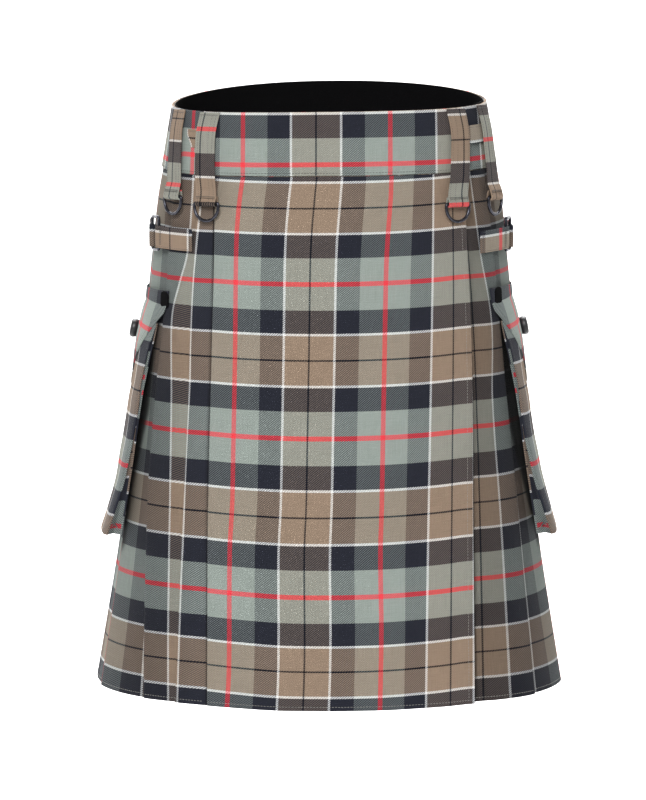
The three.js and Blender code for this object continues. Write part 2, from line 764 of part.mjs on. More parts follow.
function buildPocket(side, way) {
  const addCloth = (name, grid) => {
    const rows = way > 0 ? grid : grid.map((points) => points.slice().reverse());
    addPiece(`${name}_${side}`, wallOnGrid(rows, pocket.thickness), clothMaterial);
  };
  addCloth('pocket_back', pocketPanelGrid(way, () => 0));
  addCloth('pocket_front', pocketPanelGrid(way, (depth) => depth));
  addCloth('pocket_gusset', gussetGrid(way));
  addCloth('pocket_flap', flapGrid(way));
  buildButton(`pocket_button_${side}`, way);
}

buildWaistband();
buildWaistLining();
buildFrontApron();
buildUnderApron();
buildLeftSidePleats();
buildRightSidePleats();
buildBackPleats();
hangingStraps.forEach(buildHangingStrap);
sideTabs.forEach(buildSideTab);
hipSides.forEach(buildHipSide);
buildPocket('left', -1);
buildPocket('right', 1);

export default kilt;
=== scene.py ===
import bisect
import math

import bpy
import numpy as np
from mathutils import Matrix, Vector, noise


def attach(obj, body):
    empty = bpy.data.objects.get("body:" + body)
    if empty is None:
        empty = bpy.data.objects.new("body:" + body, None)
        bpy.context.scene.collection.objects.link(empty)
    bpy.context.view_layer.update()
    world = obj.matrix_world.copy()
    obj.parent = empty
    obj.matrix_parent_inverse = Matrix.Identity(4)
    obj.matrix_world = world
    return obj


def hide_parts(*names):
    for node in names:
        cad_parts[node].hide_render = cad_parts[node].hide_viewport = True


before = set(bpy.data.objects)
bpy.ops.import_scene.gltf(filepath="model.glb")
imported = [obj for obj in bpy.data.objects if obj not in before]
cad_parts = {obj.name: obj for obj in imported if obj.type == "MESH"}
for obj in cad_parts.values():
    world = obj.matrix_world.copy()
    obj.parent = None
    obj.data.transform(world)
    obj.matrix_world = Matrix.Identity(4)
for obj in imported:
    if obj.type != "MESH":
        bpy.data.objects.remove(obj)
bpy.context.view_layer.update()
print("frame loaded")

# Lengths are in millimetres until a mesh is made
mm = 0.001


# Small helpers for numbers
def mix(start, end, share):
    return start + (end - start) * share


def easedStep(value, start, end):
    share = min(max((value - start) / (end - start), 0.0), 1.0)
    return share * share * (3 - 2 * share)


def bump(value, centre, reach):
    share = min(abs(value - centre) / reach, 1.0)
    return (1 - share * share) ** 2


# A smooth curve through rows of (place, value, ...)
def curveThrough(rows, place, column=1):
    last = len(rows) - 1
    if place <= rows[0][0]:
        return rows[0][column]
    if place >= rows[last][0]:
        return rows[last][column]
    row = next(i for i, entry in enumerate(rows) if entry[0] > place) - 1
    span = rows[row + 1][0] - rows[row][0]
    t = (place - rows[row][0]) / span

    def slope(index):
        before = rows[max(index - 1, 0)]
        after = rows[min(index + 1, last)]
        return (after[column] - before[column]) / (after[0] - before[0])

    leaving = t * (1 - t) * (1 - t) * span * slope(row)
    arriving = t * t * (1 - t) * span * slope(row + 1)
    eased = t * t * (3 - 2 * t)
    return mix(rows[row][column], rows[row + 1][column], eased) + leaving - arriving


# The worn form: half width and half depth of the cloth by distance below the waist
form = {
    "rows": [
        (0, 166, 112),
        (65, 177, 124),
        (100, 183, 131),
        (165, 190, 141),
        (300, 204, 155),
        (460, 225, 166),
        (610, 250, 175),
    ],
    "length": 610,
    "squareness": 2.2,
    "backRise": 26,
    "riseSharpness": 1.84,
    "hemShareOfRise": 0.51,
    "sideTilt": 2.2,
    "steps": 720,
}
measuredRings = {}


def signedPower(value, power):
    return math.copysign(abs(value) ** power, value)


# One level of the form, walked from the front centre towards +X
def ringAt(down):
    key = round(down, 3)
    if key not in measuredRings:
        halfWidth = curveThrough(form["rows"], down, 1)
        halfDepth = curveThrough(form["rows"], down, 2)
        power = 2 / form["squareness"]
        turns = [2 * math.pi * step / form["steps"] for step in range(form["steps"] + 1)]
        xs = [halfWidth * signedPower(math.sin(turn), power) for turn in turns]
        ys = [-halfDepth * signedPower(math.cos(turn), power) for turn in turns]
        arcs = [0.0]
        for step in range(form["steps"]):
            arcs.append(arcs[-1] + math.hypot(xs[step + 1] - xs[step], ys[step + 1] - ys[step]))
        measuredRings[key] = (xs, ys, arcs, turns)
    return measuredRings[key]


def ringLength(down):
    return ringAt(down)[2][-1]


def heightAt(down, turn):
    share = down / form["length"]
    rise = form["backRise"] * ((1 - math.cos(turn)) / 2) ** form["riseSharpness"]
    tilt = form["sideTilt"] * math.sin(turn) * (1 - share)
    return rise * mix(1, form["hemShareOfRise"], share) + tilt - down


# A point on the form, moved out of it, with the directions out of the cloth and along it
def placeOnForm(down, arc, out=0.0):
    xs, ys, arcs, turns = ringAt(down)
    wrapped = arc % arcs[-1]
    low = min(bisect.bisect_right(arcs, wrapped) - 1, form["steps"] - 1)
    share = (wrapped - arcs[low]) / (arcs[low + 1] - arcs[low])
    stepX = xs[low + 1] - xs[low]
    stepY = ys[low + 1] - ys[low]
    size = math.hypot(stepX, stepY)
    along = Vector((stepX / size, stepY / size, 0))
    outward = Vector((along.y, -along.x, 0))
    height = heightAt(down, mix(turns[low], turns[low + 1], share))
    point = Vector((mix(xs[low], xs[low + 1], share), mix(ys[low], ys[low + 1], share), height))
    return point + outward * out, outward, along


# Slow waves of the skirt. They grow towards the hem and leave the sides flat under the pockets.
skirtWaves = {
    "starts": 110,
    "waves": [(9, 0.9, 0.6), (14, 0.6, 2.1), (23, 0.3, 4.4)],  # count round, size, start
    "lean": 190,
    "frontDrop": 3.0,
    "frontReach": 190,
}


def skirtSway(down, arc):
    length = ringLength(down)
    turn = 2 * math.pi * (arc % length) / length
    grow = easedStep(down, skirtWaves["starts"], form["length"]) * math.cos(turn) ** 2
    lean = down / skirtWaves["lean"]
    return grow * sum(size * math.sin(count * turn + start + lean)
                      for count, size, start in skirtWaves["waves"])


# The middle of the front hangs a little lower than its sides
def frontDrop(down, arc):
    length = ringLength(down)
    fromFront = (arc + length / 2) % length - length / 2
    reach = bump(fromFront, 0, skirtWaves["frontReach"])
    return skirtWaves["frontDrop"] * reach * easedStep(down, 250, form["length"])


# The sett, in millimetres from the middle of the red stripe, mirrored at the thin dark line
sett = {
    "half": 78.5,
    "stripes": [  # (where it begins, thread)
        (0, "red"),
        (2.25, "green"),
        (26.7, "navy"),
        (50.8, "white"),
        (53.2, "tan"),
        (77.4, "dark"),
    ],
    "threads": {  # as the eye sees them, from 0 to 1
        "red": (0.985, 0.285, 0.325),
        "green": (0.608, 0.647, 0.620),
        "navy": (0.168, 0.176, 0.212),
        "white": (0.965, 0.968, 0.962),
        "tan": (0.608, 0.525, 0.451),
        "dark": (0.085, 0.085, 0.105),
    },
    "levelShare": 0.675,  # how much of what shows is the threads that run round
    "thinGain": 0.27,  # the thin upright stripes show this much more of themselves
    "twillAcross": 57,  # diagonals in one repeat
    "twillDown": 70,
}
# Where the level stripes of the skirt lie: (distance below the waist, place in the sett)
levelStripes = [
    (98.2, -78.5),
    (175.2, 0),
    (253.1, 78.5),
    (332.4, 157),
    (412.9, 235.5),
    (493.6, 314),
    (569.7, 392.5),
]


def skirtSett(down):
    first = levelStripes[0]
    last = levelStripes[-1]
    if down < first[0]:
        return first[1] + down - first[0]
    if down > last[0]:
        return last[1] + down - last[0]
    return curveThrough(levelStripes, down)


# One output of a node, which can be used in sums
class Wire:
    def __init__(self, finish, socket):
        self.finish = finish
        self.socket = socket

    def math(self, operation, first, second=None):
        values = {0: first} if second is None else {0: first, 1: second}
        return self.finish.add("ShaderNodeMath", {"operation": operation}, values)

    def __add__(self, other):
        return self.math("ADD", self, other)

    def __radd__(self, other):
        return self.math("ADD", other, self)

    def __sub__(self, other):
        return self.math("SUBTRACT", self, other)

    def __rsub__(self, other):
        return self.math("SUBTRACT", other, self)

    def __mul__(self, other):
        return self.math("MULTIPLY", self, other)

    def __rmul__(self, other):
        return self.math("MULTIPLY", other, self)

    def sine(self):
        return self.math("SINE", self)

    def mirrored(self, size):
        return self.math("PINGPONG", self, size)


# A material whose graph is built by add
class Finish:
    def __init__(self, name):
        self.material = bpy.data.materials.new(name)
        self.material.use_nodes = True
        self.tree = self.material.node_tree
        self.shader = self.tree.nodes["Principled BSDF"]

    def add(self, kind, settings=None, inputs=None, output=0):
        node = self.tree.nodes.new(kind)
        for key, value in (settings or {}).items():
            if key == "stops":
                self.setStops(node.color_ramp, value)
            elif key == "interpolation":
                node.color_ramp.interpolation = value
            else:
                setattr(node, key, value)
        for key, value in (inputs or {}).items():
            self.feed(node.inputs[key], value)
        return Wire(self, node.outputs[output])

    def feed(self, socket, value):
        if isinstance(value, Wire):
            self.tree.links.new(value.socket, socket)
        else:
            socket.default_value = value

    def setStops(self, ramp, stops):
        while len(ramp.elements) < len(stops):
            ramp.elements.new(1.0)
        for element, (position, colour) in zip(ramp.elements, stops):
            element.position = position
            element.color = (*colour, 1)

    def split(self, vector):
        parts = self.add("ShaderNodeSeparateXYZ", inputs={"Vector": vector})
        return [Wire(self, parts.socket.node.outputs[name]) for name in ("X", "Y", "Z")]

    def join(self, x, y, z=0.0):
        return self.add("ShaderNodeCombineXYZ", inputs={"X": x, "Y": y, "Z": z})

    def noise(self, vector, scale, detail=2.0):
        inputs = {"Vector": vector, "Scale": scale, "Detail": detail}
        return self.add("ShaderNodeTexNoise", inputs=inputs)

    def mixColours(self, factor, first, second, blend="MIX"):
        settings = {"data_type": "RGBA", "blend_type": blend}
        return self.add("ShaderNodeMix", settings, {0: factor, 6: first, 7: second}, output=2)

    def emboss(self, height, distance, strength=1.0):
        inputs = {"Height": height, "Distance": distance, "Strength": strength}
        self.feed(self.shader.inputs["Normal"], self.add("ShaderNodeBump", inputs=inputs))

    def setShader(self, **values):
        for name, value in values.items():
            socket = self.shader.inputs[name.replace("_", " ")]
            self.feed(socket, value)


# Woven tartan in a 2/2 twill. The piece's own map gives the place in the sett, in repeats.
tartan = {
    "exposure": 0.835,
    "eyeCurve": 2.2,
    "twillContrast": 0.31,
    "streak": 0.15,
    "speck": 0.14,
    "cloud": 0.05,
    "twillDepth": 0.00022,
    "threadsAcross": 228,
    "threadsDown": 280,
}


def makeTartan(name, tone=1.0):
    finish = Finish(name)
    stops = []
    for begins, thread in sett["stripes"]:
        colour = [value * tartan["exposure"] * tone for value in sett["threads"][thread]]
        stops.append((begins / sett["half"], colour))
    place = finish.add("ShaderNodeUVMap", {"uv_map": "cloth"})
    across, down, _ = finish.split(place)

    def threads(way):
        stripe = way.mirrored(0.5) * 2
        settings = {"interpolation": "CONSTANT", "stops": stops}
        return finish.add("ShaderNodeValToRGB", settings, {"Fac": stripe})

    marks = [(begins / sett["half"], [float(thread in ("red", "white", "dark"))] * 3)
             for begins, thread in sett["stripes"]]
    thin = finish.add("ShaderNodeValToRGB", {"interpolation": "CONSTANT", "stops": marks},
                      {"Fac": across.mirrored(0.5) * 2})
    diagonal = ((across * sett["twillAcross"] + down * sett["twillDown"]) * (2 * math.pi)).sine()
    levelShare = diagonal * tartan["twillContrast"] + sett["levelShare"] - thin * sett["thinGain"]
    woven = finish.mixColours(levelShare, threads(across), threads(down))
    uprightStreaks = finish.noise(finish.join(across * tartan["threadsAcross"], down * 7), 1.0, 1.0)
    levelStreaks = finish.noise(finish.join(across * 7, down * tartan["threadsDown"]), 1.0, 1.0)
    specks = finish.noise(finish.join(across * 150, down * 150), 1.0, 2.0)
    clouds = finish.noise(finish.join(across * 2.3, down * 2.3), 1.0, 3.0)
    streaks = (uprightStreaks + levelStreaks - 1.0) * tartan["streak"]
    light = streaks + (specks - 0.5) * tartan["speck"] + (clouds - 0.5) * tartan["cloud"] + 1.0
    # Painted shade: a per-point attribute darkens the cloth's colour beside the apron's edges, beside and
    # behind the pockets and over the side faces
    hollow = finish.add("ShaderNodeAttribute", {"attribute_name": "hollow"}, output=2)
    toned = finish.mixColours(1.0, woven, light * (1.0 - hollow), "MULTIPLY")
    colour = finish.add("ShaderNodeGamma", inputs={"Color": toned, "Gamma": tartan["eyeCurve"]})
    ribs = ((across * tartan["threadsAcross"] * (2 * math.pi)).sine()
            + (down * tartan["threadsDown"] * (2 * math.pi)).sine()) * 0.2
    finish.emboss(diagonal * 0.6 + ribs + specks * 0.8, tartan["twillDepth"])
    finish.setShader(Base_Color=colour, Roughness=0.92, Sheen_Weight=0.05, Sheen_Roughness=0.5)
    finish.setShader(Specular_IOR_Level=0.1)
    return finish.material


def makeLining():
    finish = Finish("blackLining")
    place = finish.add("ShaderNodeTexCoord", output=3)
    fibres = finish.noise(place, 900.0, 2.0)
    shade = finish.mixColours(fibres, (0.0015, 0.0015, 0.0017, 1), (0.004, 0.004, 0.0045, 1))
    finish.emboss(fibres, 0.0002, 0.6)
    finish.setShader(Base_Color=shade, Roughness=0.95, Specular_IOR_Level=0.05)
    return finish.material


def makeMetal():
    finish = Finish("darkMetal")
    place = finish.add("ShaderNodeTexCoord", output=3)
    wear = finish.noise(place, 260.0, 4.0)
    shade = finish.mixColours(wear, (0.018, 0.018, 0.024, 1), (0.075, 0.075, 0.09, 1))
    finish.emboss(finish.noise(place, 1400.0, 2.0), 0.00005, 0.5)
    finish.setShader(Base_Color=shade, Roughness=wear * 0.22 + 0.14, Metallic=0.85)
    return finish.material


def makePlastic():
    finish = Finish("blackPlastic")
    place = finish.add("ShaderNodeTexCoord", output=3)
    grain = finish.noise(place, 700.0, 3.0)
    shade = finish.mixColours(grain, (0.006, 0.006, 0.007, 1), (0.016, 0.016, 0.018, 1))
    finish.emboss(grain, 0.00006, 0.6)
    finish.setShader(Base_Color=shade, Roughness=grain * 0.2 + 0.3)
    return finish.material


def makeThread(name, colour):
    finish = Finish(name)
    place = finish.add("ShaderNodeTexCoord", output=3)
    twist = finish.noise(place, 2600.0, 2.0)
    darker = [value * 0.55 for value in colour]
    shade = finish.mixColours(twist, (*darker, 1), (*colour, 1))
    finish.emboss(twist, 0.00008, 0.7)
    finish.setShader(Base_Color=shade, Roughness=0.7, Sheen_Weight=0.2)
    return finish.material


clothMaterial = makeTartan("tartanCloth")
liningMaterial = makeLining()
metalMaterial = makeMetal()
plasticMaterial = makePlastic()
darkThread = makeThread("darkThread", (0.022, 0.021, 0.02))
paleThread = makeThread("paleThread", (0.30, 0.29, 0.26))
print("materials ready")


# A wall of cloth on a grid of middle points. halves are half its thickness, coords are sett
# millimetres, and the last argument, from 0 to 1, is painted shade that darkens the cloth's colour.
def makeCloth(name, points, coords, halves, material, closed=False, hollow=None):
    points = np.array(points, dtype=float)
    coords = np.array(coords, dtype=float)
    halves = np.array(halves, dtype=float)
    rows, columns = points.shape[:2]
    downStep = np.gradient(points, axis=0)
    if closed:
        alongStep = np.roll(points, -1, axis=1) - np.roll(points, 1, axis=1)
    else:
        alongStep = np.gradient(points, axis=1)
    normals = np.cross(downStep, alongStep)
    normals /= np.linalg.norm(normals, axis=2, keepdims=True)
    outer = points + normals * halves[..., None]
    inner = points - normals * halves[..., None]
    vertices = np.concatenate([outer.reshape(-1, 3), inner.reshape(-1, 3)]) * mm
    index = np.arange(rows * columns).reshape(rows, columns)
    if closed:
        index = np.concatenate([index, index[:, :1]], axis=1)
    under = index + rows * columns

    def quads(a, b, c, d):
        return np.stack([a, b, c, d], axis=-1).reshape(-1, 4)

    faces = [
        quads(index[:-1, :-1], index[1:, :-1], index[1:, 1:], index[:-1, 1:]),
        quads(under[:-1, :-1], under[:-1, 1:], under[1:, 1:], under[1:, :-1]),
        quads(index[0, :-1], index[0, 1:], under[0, 1:], under[0, :-1]),
        quads(index[-1, :-1], under[-1, :-1], under[-1, 1:], index[-1, 1:]),
    ]
    if not closed:
        faces.append(quads(index[:-1, 0], under[:-1, 0], under[1:, 0], index[1:, 0]))
        faces.append(quads(index[:-1, -1], index[1:, -1], under[1:, -1], under[:-1, -1]))
    faces = np.concatenate(faces)
    mesh = bpy.data.meshes.new(name)
    mesh.from_pydata(vertices.tolist(), [], faces.tolist())
    both = np.concatenate([coords.reshape(-1, 2), coords.reshape(-1, 2)]) / (2 * sett["half"])
    layer = mesh.uv_layers.new(name="cloth")
    layer.data.foreach_set("uv", both[faces.reshape(-1)].reshape(-1))
    if hollow is not None:
        depths = np.array(hollow, dtype=float).reshape(-1)
        attribute = mesh.attributes.new("hollow", "FLOAT", "POINT")
        attribute.data.foreach_set("value", np.concatenate([depths, depths]))
    mesh.materials.append(material)
    mesh.shade_smooth()
    mesh.update()
    piece = bpy.data.objects.new(name, mesh)
    bpy.context.scene.collection.objects.link(piece)
    return {"object": piece, "outer": outer, "normals": normals}


# The levels of a panel: close together at both edges, where the cloth rounds off
def panelLevels(top, bottom, step):
    count = round((bottom - top) / step)
    inside = [mix(top, bottom, index / count) for index in range(1, count)]
    return [top, top + 0.35, top + 0.9, *inside, bottom - 0.9, bottom - 0.35, bottom]


# How thick the cloth is left at a rim, as a share, by its distance from the rim
def rimShare(distance):
    share = min(max(distance, 0) / 0.9, 1)
    return math.sqrt(share * (2 - share) * 0.8 + 0.2)


# A panel hung on the form. sectionAt(down) lists its stops round the form:
# (arc, inset, place in the sett, whether the cloth up to the next stop shows).
# The last argument, if given, gives the painted shade at each (down, arc): how much the cloth's colour is
# darkened, from 0 to 1
def hangPanel(name, levels, sectionAt, levelSett, halfAt, spacing=(3.4, 8), paintedShadeAt=None):
    sections = [sectionAt(down) for down in levels]
    count = len(sections[0])
    parts = []
    for index in range(count - 1):
        widest = max(abs(stops[index + 1][0] - stops[index][0]) for stops in sections)
        shown = sections[0][index][3]
        parts.append(max(1, math.ceil(widest / (spacing[0] if shown else spacing[1]))))
    points, coords, halves, hollow, flags = [], [], [], [], []
    for down, stops in zip(levels, sections):
        line, places, sizes, flags = [], [], [], []
        for index in range(count):
            pieces = parts[index] if index < count - 1 else 1
            last = stops[min(index + 1, count - 1)]
            for part in range(pieces):
                share = part / pieces
                arc = mix(stops[index][0], last[0], share)
                inset = mix(stops[index][1], last[1], share)
                out = skirtSway(down, arc) - inset
                point = placeOnForm(down, arc, out)[0]
                point.z -= frontDrop(down, arc)
                line.append(point)
                places.append((mix(stops[index][2], last[2], share), levelSett(down, arc)))
                # painted shade for this point
                hollow.append(paintedShadeAt(down, arc) if paintedShadeAt else 0.0)
                side = min(abs(arc - stops[0][0]), abs(arc - stops[-1][0]))
                rim = min(down - levels[0], levels[-1] - down)
                sizes.append(halfAt(down) * rimShare(rim) * (rimShare(side) if side < 0.9 else 1))
                flags.append(stops[index][3])
        points.append(line)
        coords.append(places)
        halves.append(sizes)
    cloth = makeCloth(name, points, coords, halves, clothMaterial, hollow=hollow)
    cloth["levels"] = levels
    cloth["shows"] = flags
    return cloth


# Stitches lie along runs of (point, normal): short spindles of thread, pressed into the cloth
stitch = {"length": 2.3, "gap": 0.9, "radius": 0.24, "sides": 6, "sink": 0.06}


def sewRuns(name, runs, material, length=None, gap=None, radius=None):
    length = length or stitch["length"]
    gap = gap or stitch["gap"]
    radius = radius or stitch["radius"]
    vertices, faces = [], []
    sides = stitch["sides"]
    profile = [(0.0, 0.35, -0.5), (0.2, 1.0, 0.0), (0.8, 1.0, 0.0), (1.0, 0.35, -0.5)]
    for run in runs:
        points = [Vector(point) for point, _ in run]
        normals = [Vector(normal) for _, normal in run]
        travelled = [0.0]
        for before, after in zip(points, points[1:]):
            travelled.append(travelled[-1] + (after - before).length)

        def at(distance):
            index = min(bisect.bisect_right(travelled, distance) - 1, len(points) - 2)
            share = (distance - travelled[index]) / max(travelled[index + 1] - travelled[index], 1e-6)
            normal = normals[index].lerp(normals[index + 1], share).normalized()
            return points[index].lerp(points[index + 1], share), normal

        start = gap / 2
        while start + length < travelled[-1]:
            first = len(vertices)
            for share, width, sunk in profile:
                point, normal = at(start + length * share)
                ahead = (at(start + length)[0] - at(start)[0]).normalized()
                side = ahead.cross(normal).normalized()
                middle = point + normal * (radius * (0.55 + sunk) - stitch["sink"])
                for corner in range(sides):
                    angle = 2 * math.pi * corner / sides
                    spoke = side * math.cos(angle) + normal * math.sin(angle)
                    vertices.append(tuple((middle + spoke * radius * width) * mm))
            for ring in range(len(profile) - 1):
                for corner in range(sides):
                    a = first + ring * sides + corner
                    b = first + ring * sides + (corner + 1) % sides
                    faces.append((a, b, b + sides, a + sides))
            faces.append(tuple(first + corner for corner in reversed(range(sides))))
            end = first + (len(profile) - 1) * sides
            faces.append(tuple(end + corner for corner in range(sides)))
            start += length + gap
    mesh = bpy.data.meshes.new(name)
    mesh.from_pydata(vertices, [], faces)
    mesh.materials.append(material)
    mesh.shade_smooth()
    piece = bpy.data.objects.new(name, mesh)
    bpy.context.scene.collection.objects.link(piece)
    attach(piece, "kilt")


# The place and the normal at each (row, column) of a cloth's outer face
def runOver(cloth, cells):
    return [(cloth["outer"][cell], cloth["normals"][cell]) for cell in cells]


# The runs of a cloth's outer face nearest to a level, over its columns that show
def levelRuns(cloth, down):
    row = min(range(len(cloth["levels"])), key=lambda index: abs(cloth["levels"][index] - down))
    runs, run = [], []
    for column, shown in enumerate(cloth["shows"]):
        if shown:
            run += runOver(cloth, [(row, column)])
        elif run:
            runs.append(run)
            run = []
    if run:
        runs.append(run)
    return [run for run in runs if len(run) > 2]


def uprightRun(cloth, column, skip):
    return runOver(cloth, [(row, column) for row in range(skip, len(cloth["levels"]) - skip)])


def finishCloth(cloth, node):
    piece = cloth["object"]
    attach(piece, "kilt")
    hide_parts(node)
    surface = sum(polygon.area for polygon in piece.data.polygons) / 2
    print(f"{piece.name}: {surface:.4f} m2, {len(piece.data.polygons) * 2} triangles")


# Waistband: one strip that starts under the front and ends at the free edge, over its beginning
waistband = {
    "height": 65,
    "thickness": 3.0,
    "overlap": 3.5,
    "startArc": -88,
    "columns": 330,
    "joinFrom": 158,
    "joinTo": 196,
    "freeEdge": 149,
    "redFromTop": 53.7,
    "redLeft": -90.5,
    "settScale": 1.022,
    "hiddenChange": (-142, -136),  # the cloth changes here, behind the left strap
    "leftRed": -152.5,
    "leftRaise": 8.5,  # the cloth lies this much higher between the left straps
    "raised": (136, 142, 166, 186),
    "rightNavy": 165,
    "rightPlace": 38.5,  # place in the sett of that navy edge
    "repeats": 5,
    "seamLine": 61.2,
    "groove": 0.45,
}


def waistbandSett(arc, length):
    band = waistband
    front = arc - length
    start, end = band["hiddenChange"]
    frontSett = (front - band["redLeft"]) * band["settScale"]
    turns = (band["repeats"] - 1) * 2 * sett["half"]
    scale = (turns - band["rightPlace"]) / (length + band["leftRed"] - band["rightNavy"])
    sideSett = -2 * sett["half"] + (front - band["leftRed"]) * scale
    return mix(sideSett, frontSett, easedStep(front, start, end))


def waistbandSection(down):
    band = waistband
    length = ringLength(down)
    end = length + band["freeEdge"]
    stops = []
    for index in range(band["columns"] + 1):
        arc = mix(band["startArc"], end, index / band["columns"])
        under = 1 - easedStep(arc, band["joinFrom"], band["joinTo"])
        inset = band["thickness"] / 2 + band["overlap"] * under
        stops.append((arc, inset, waistbandSett(arc, length), True))
    return stops


def buildWaistband():
    band = waistband
    levels = panelLevels(0, band["height"], 2.6)

    def halfAt(down):
        pressed = bump(down, band["seamLine"], 1.6) + bump(down, 2.6, 1.4) * 0.4
        puffed = 0.12 * math.sin(math.pi * down / band["height"])
        return band["thickness"] / 2 + puffed - band["groove"] * pressed

    def levelSett(down, arc):
        front = arc - ringLength(down)
        rises, full, falls, gone = band["raised"]
        beside = easedStep(-front, rises, full) * (1 - easedStep(-front, falls, gone))
        return down - band["redFromTop"] + band["leftRaise"] * beside

    cloth = hangPanel("waistband_cloth", levels, waistbandSection, levelSett, halfAt, (60, 60))
    finishCloth(cloth, "waistband")
    seam = levelRuns(cloth, band["seamLine"])[0]
    covered = len(seam) - round(len(seam) * 0.79)
    sewRuns("waistband_stitches", [seam[covered:]], darkThread)


# The black lining is a plain ring inside the band
lining = {
    "levels": (0.25, 61),
    "thickness": 1.0,
    "inset": 4.1,
    "behind": 3.9,
    "left": (-150, -105),
    "right": (178, 232),
    "columns": 260,
    "backLift": 0.5,
}


def buildLining():
    levels = panelLevels(*lining["levels"], 4)
    points, coords, halves = [], [], []
    for down in levels:
        length = ringLength(down)
        line = []
        for index in range(lining["columns"]):
            arc = length * index / lining["columns"]
            front = arc - length if arc > length / 2 else arc
            behind = easedStep(front, *lining["left"]) * (1 - easedStep(front, *lining["right"]))
            point = placeOnForm(down, arc, -lining["inset"] - lining["behind"] * behind)[0]
            point.z += lining["backLift"] * (1 - math.cos(2 * math.pi * arc / length)) / 2
            line.append(point)
        points.append(line)
        coords.append([(index, down) for index in range(lining["columns"])])
        rim = rimShare(min(down - levels[0], levels[-1] - down))
        halves.append([lining["thickness"] / 2 * rim] * lining["columns"])
    cloth = makeCloth("waist_lining_cloth", points, coords, halves, liningMaterial, closed=True)
    finishCloth(cloth, "waist_lining")


# The panels below the band
panels = {
    "top": 65.7,
    "bottom": 610,
    "step": 4.2,
    "thickness": 1.4,
    "inset": 1.3,
    "layer": 1.9,
    "hemFrom": 601,
    "hemExtra": 0.13,
    "hemStitch": 604.2,
    "groove": 0.28,
    "underlap": 17,
}
skirtLevels = panelLevels(panels["top"], panels["bottom"], panels["step"])


def skirtHalf(down):
    turned = easedStep(down, panels["hemFrom"], panels["hemFrom"] + 2)
    pressed = bump(down, panels["hemStitch"], 1.5)
    return panels["thickness"] / 2 + panels["hemExtra"] * turned - panels["groove"] * pressed


def sewHem(cloth, name):
    sewRuns(f"{name}_hem_stitches", levelRuns(cloth, panels["hemStitch"]), paleThread, radius=0.2)


# Stripes are named by their place in the sett and their arcs by distance below the waist
frontApron = {
    "left": [(65, -123), (150, -123.5), (250, -126), (390, -129), (610, -129)],
    "right": [(65, 149), (130, 152), (200, 155.5), (285, 157), (420, 155.5), (610, 155)],
    "stripes": [
        (0, [(65, -90.3), (90, -94.2), (130, -97.5), (250, -98.9), (350, -100.7), (400, -101.7),
             (450, -104.4), (570, -105), (610, -107)]),
        (157, [(65, 64.8), (90, 63.6), (130, 60.4), (160, 58.8), (250, 57), (300, 56),
               (400, 54.2), (450, 52.8), (530, 53.8), (610, 52.4)]),
        (209, [(65, 110.6), (150, 109.5), (250, 107.5), (450, 103), (610, 100.5)]),
        (262, [(65, 156), (200, 159), (420, 156), (610, 153.5)]),
    ],
    "edgeStitch": 3.0,
    "columns": 84,
}


def settBetween(stripes, down, arc):
    places = [(curveThrough(line, down), value) for value, line in stripes]
    low = 0
    while low < len(places) - 2 and arc > places[low + 1][0]:
        low += 1
    (firstArc, first), (secondArc, second) = places[low], places[low + 1]
    return mix(first, second, (arc - firstArc) / (secondArc - firstArc))


def apronSection(down):
    left = curveThrough(frontApron["left"], down)
    right = curveThrough(frontApron["right"], down)
    count = frontApron["columns"]
    stops = []
    for index in range(count + 1):
        arc = mix(left, right, index / count)
        if index in (1, count - 1):
            arc = left + 0.9 if index == 1 else right - 0.9
        fromEdge = right - arc
        proud = 1.1 * bump(fromEdge, 0, 12) * easedStep(down, 90, 300)
        pressed = 0.32 * bump(fromEdge, frontApron["edgeStitch"], 1.6)
        inset = panels["inset"] - proud + pressed
        stops.append((arc, inset, settBetween(frontApron["stripes"], down, arc), True))
    return stops


def frontLevels(down, arc):
    return skirtSett(down + 3.2 * min(abs(arc) / 140, 1) ** 2)


def buildFrontApron():
    cloth = hangPanel("front_apron_cloth", skirtLevels, apronSection, frontLevels, skirtHalf, (60, 60))
    finishCloth(cloth, "front_apron")
    column = len(cloth["shows"]) - 2
    sewRuns("front_apron_stitches", [uprightRun(cloth, column - 1, 3)], paleThread, radius=0.2)
    sewHem(cloth, "front")


# Painted shade: how much the cloth's colour is darkened beside the edges of the front apron, as the shadow
# of those edges, and (side) over the side faces, which are painted darker than the front
edgeShade = {
    "left": {"strength": 0.7, "shift": -0.8, "reach": 2.4, "side": 0.13, "from": (-130, -200)},
    "right": {"strength": 0.55, "shift": 4.5, "reach": 6, "levels": (140, 260), "side": 0.2},
}


# The under apron shows between the free edge and the first fold on the right
underApron = {
    "start": -88,
    "fold": [(65, 184), (200, 203), (289, 213), (392, 224), (494, 230), (610, 237)],
    "dip": {"starts": 70, "deepest": 5, "rises": 6, "endsBeforeFold": 10},
    "gap": 2.6,
    "trough": {"fromEdge": 7, "width": 11, "depth": 3.2},
    "stripes": [
        (78.5, [(65, -30), (610, -30)]),
        (235.5, [(65, 146), (200, 165), (330, 170), (610, 170)]),
        (262, [(65, 161), (100, 166), (152, 175), (223, 189.5), (302, 188.5), (426, 196), (610, 201.5)]),
        (287.3, [(65, 184), (200, 203), (289, 213), (392, 224), (494, 230), (610, 237)]),
    ],
    "raise": [(65, 0), (173, 2), (328, 5), (483, 10), (610, 11)],
}


def underApronInset(arc, down):
    freeEdge = curveThrough(frontApron["right"], down)
    fold = curveThrough(underApron["fold"], down)
    dip = underApron["dip"]
    nearEdge = easedStep(arc, freeEdge - dip["starts"], freeEdge - dip["deepest"])
    outAgain = easedStep(arc, freeEdge + dip["rises"], fold - dip["endsBeforeFold"])
    trough = underApron["trough"]
    deeper = trough["depth"] * bump(arc, freeEdge + trough["fromEdge"], trough["width"] * 2)
    under = panels["inset"] + panels["layer"] + underApron["gap"] * nearEdge
    return mix(under, panels["inset"], outAgain) + deeper * easedStep(down, 90, 240)


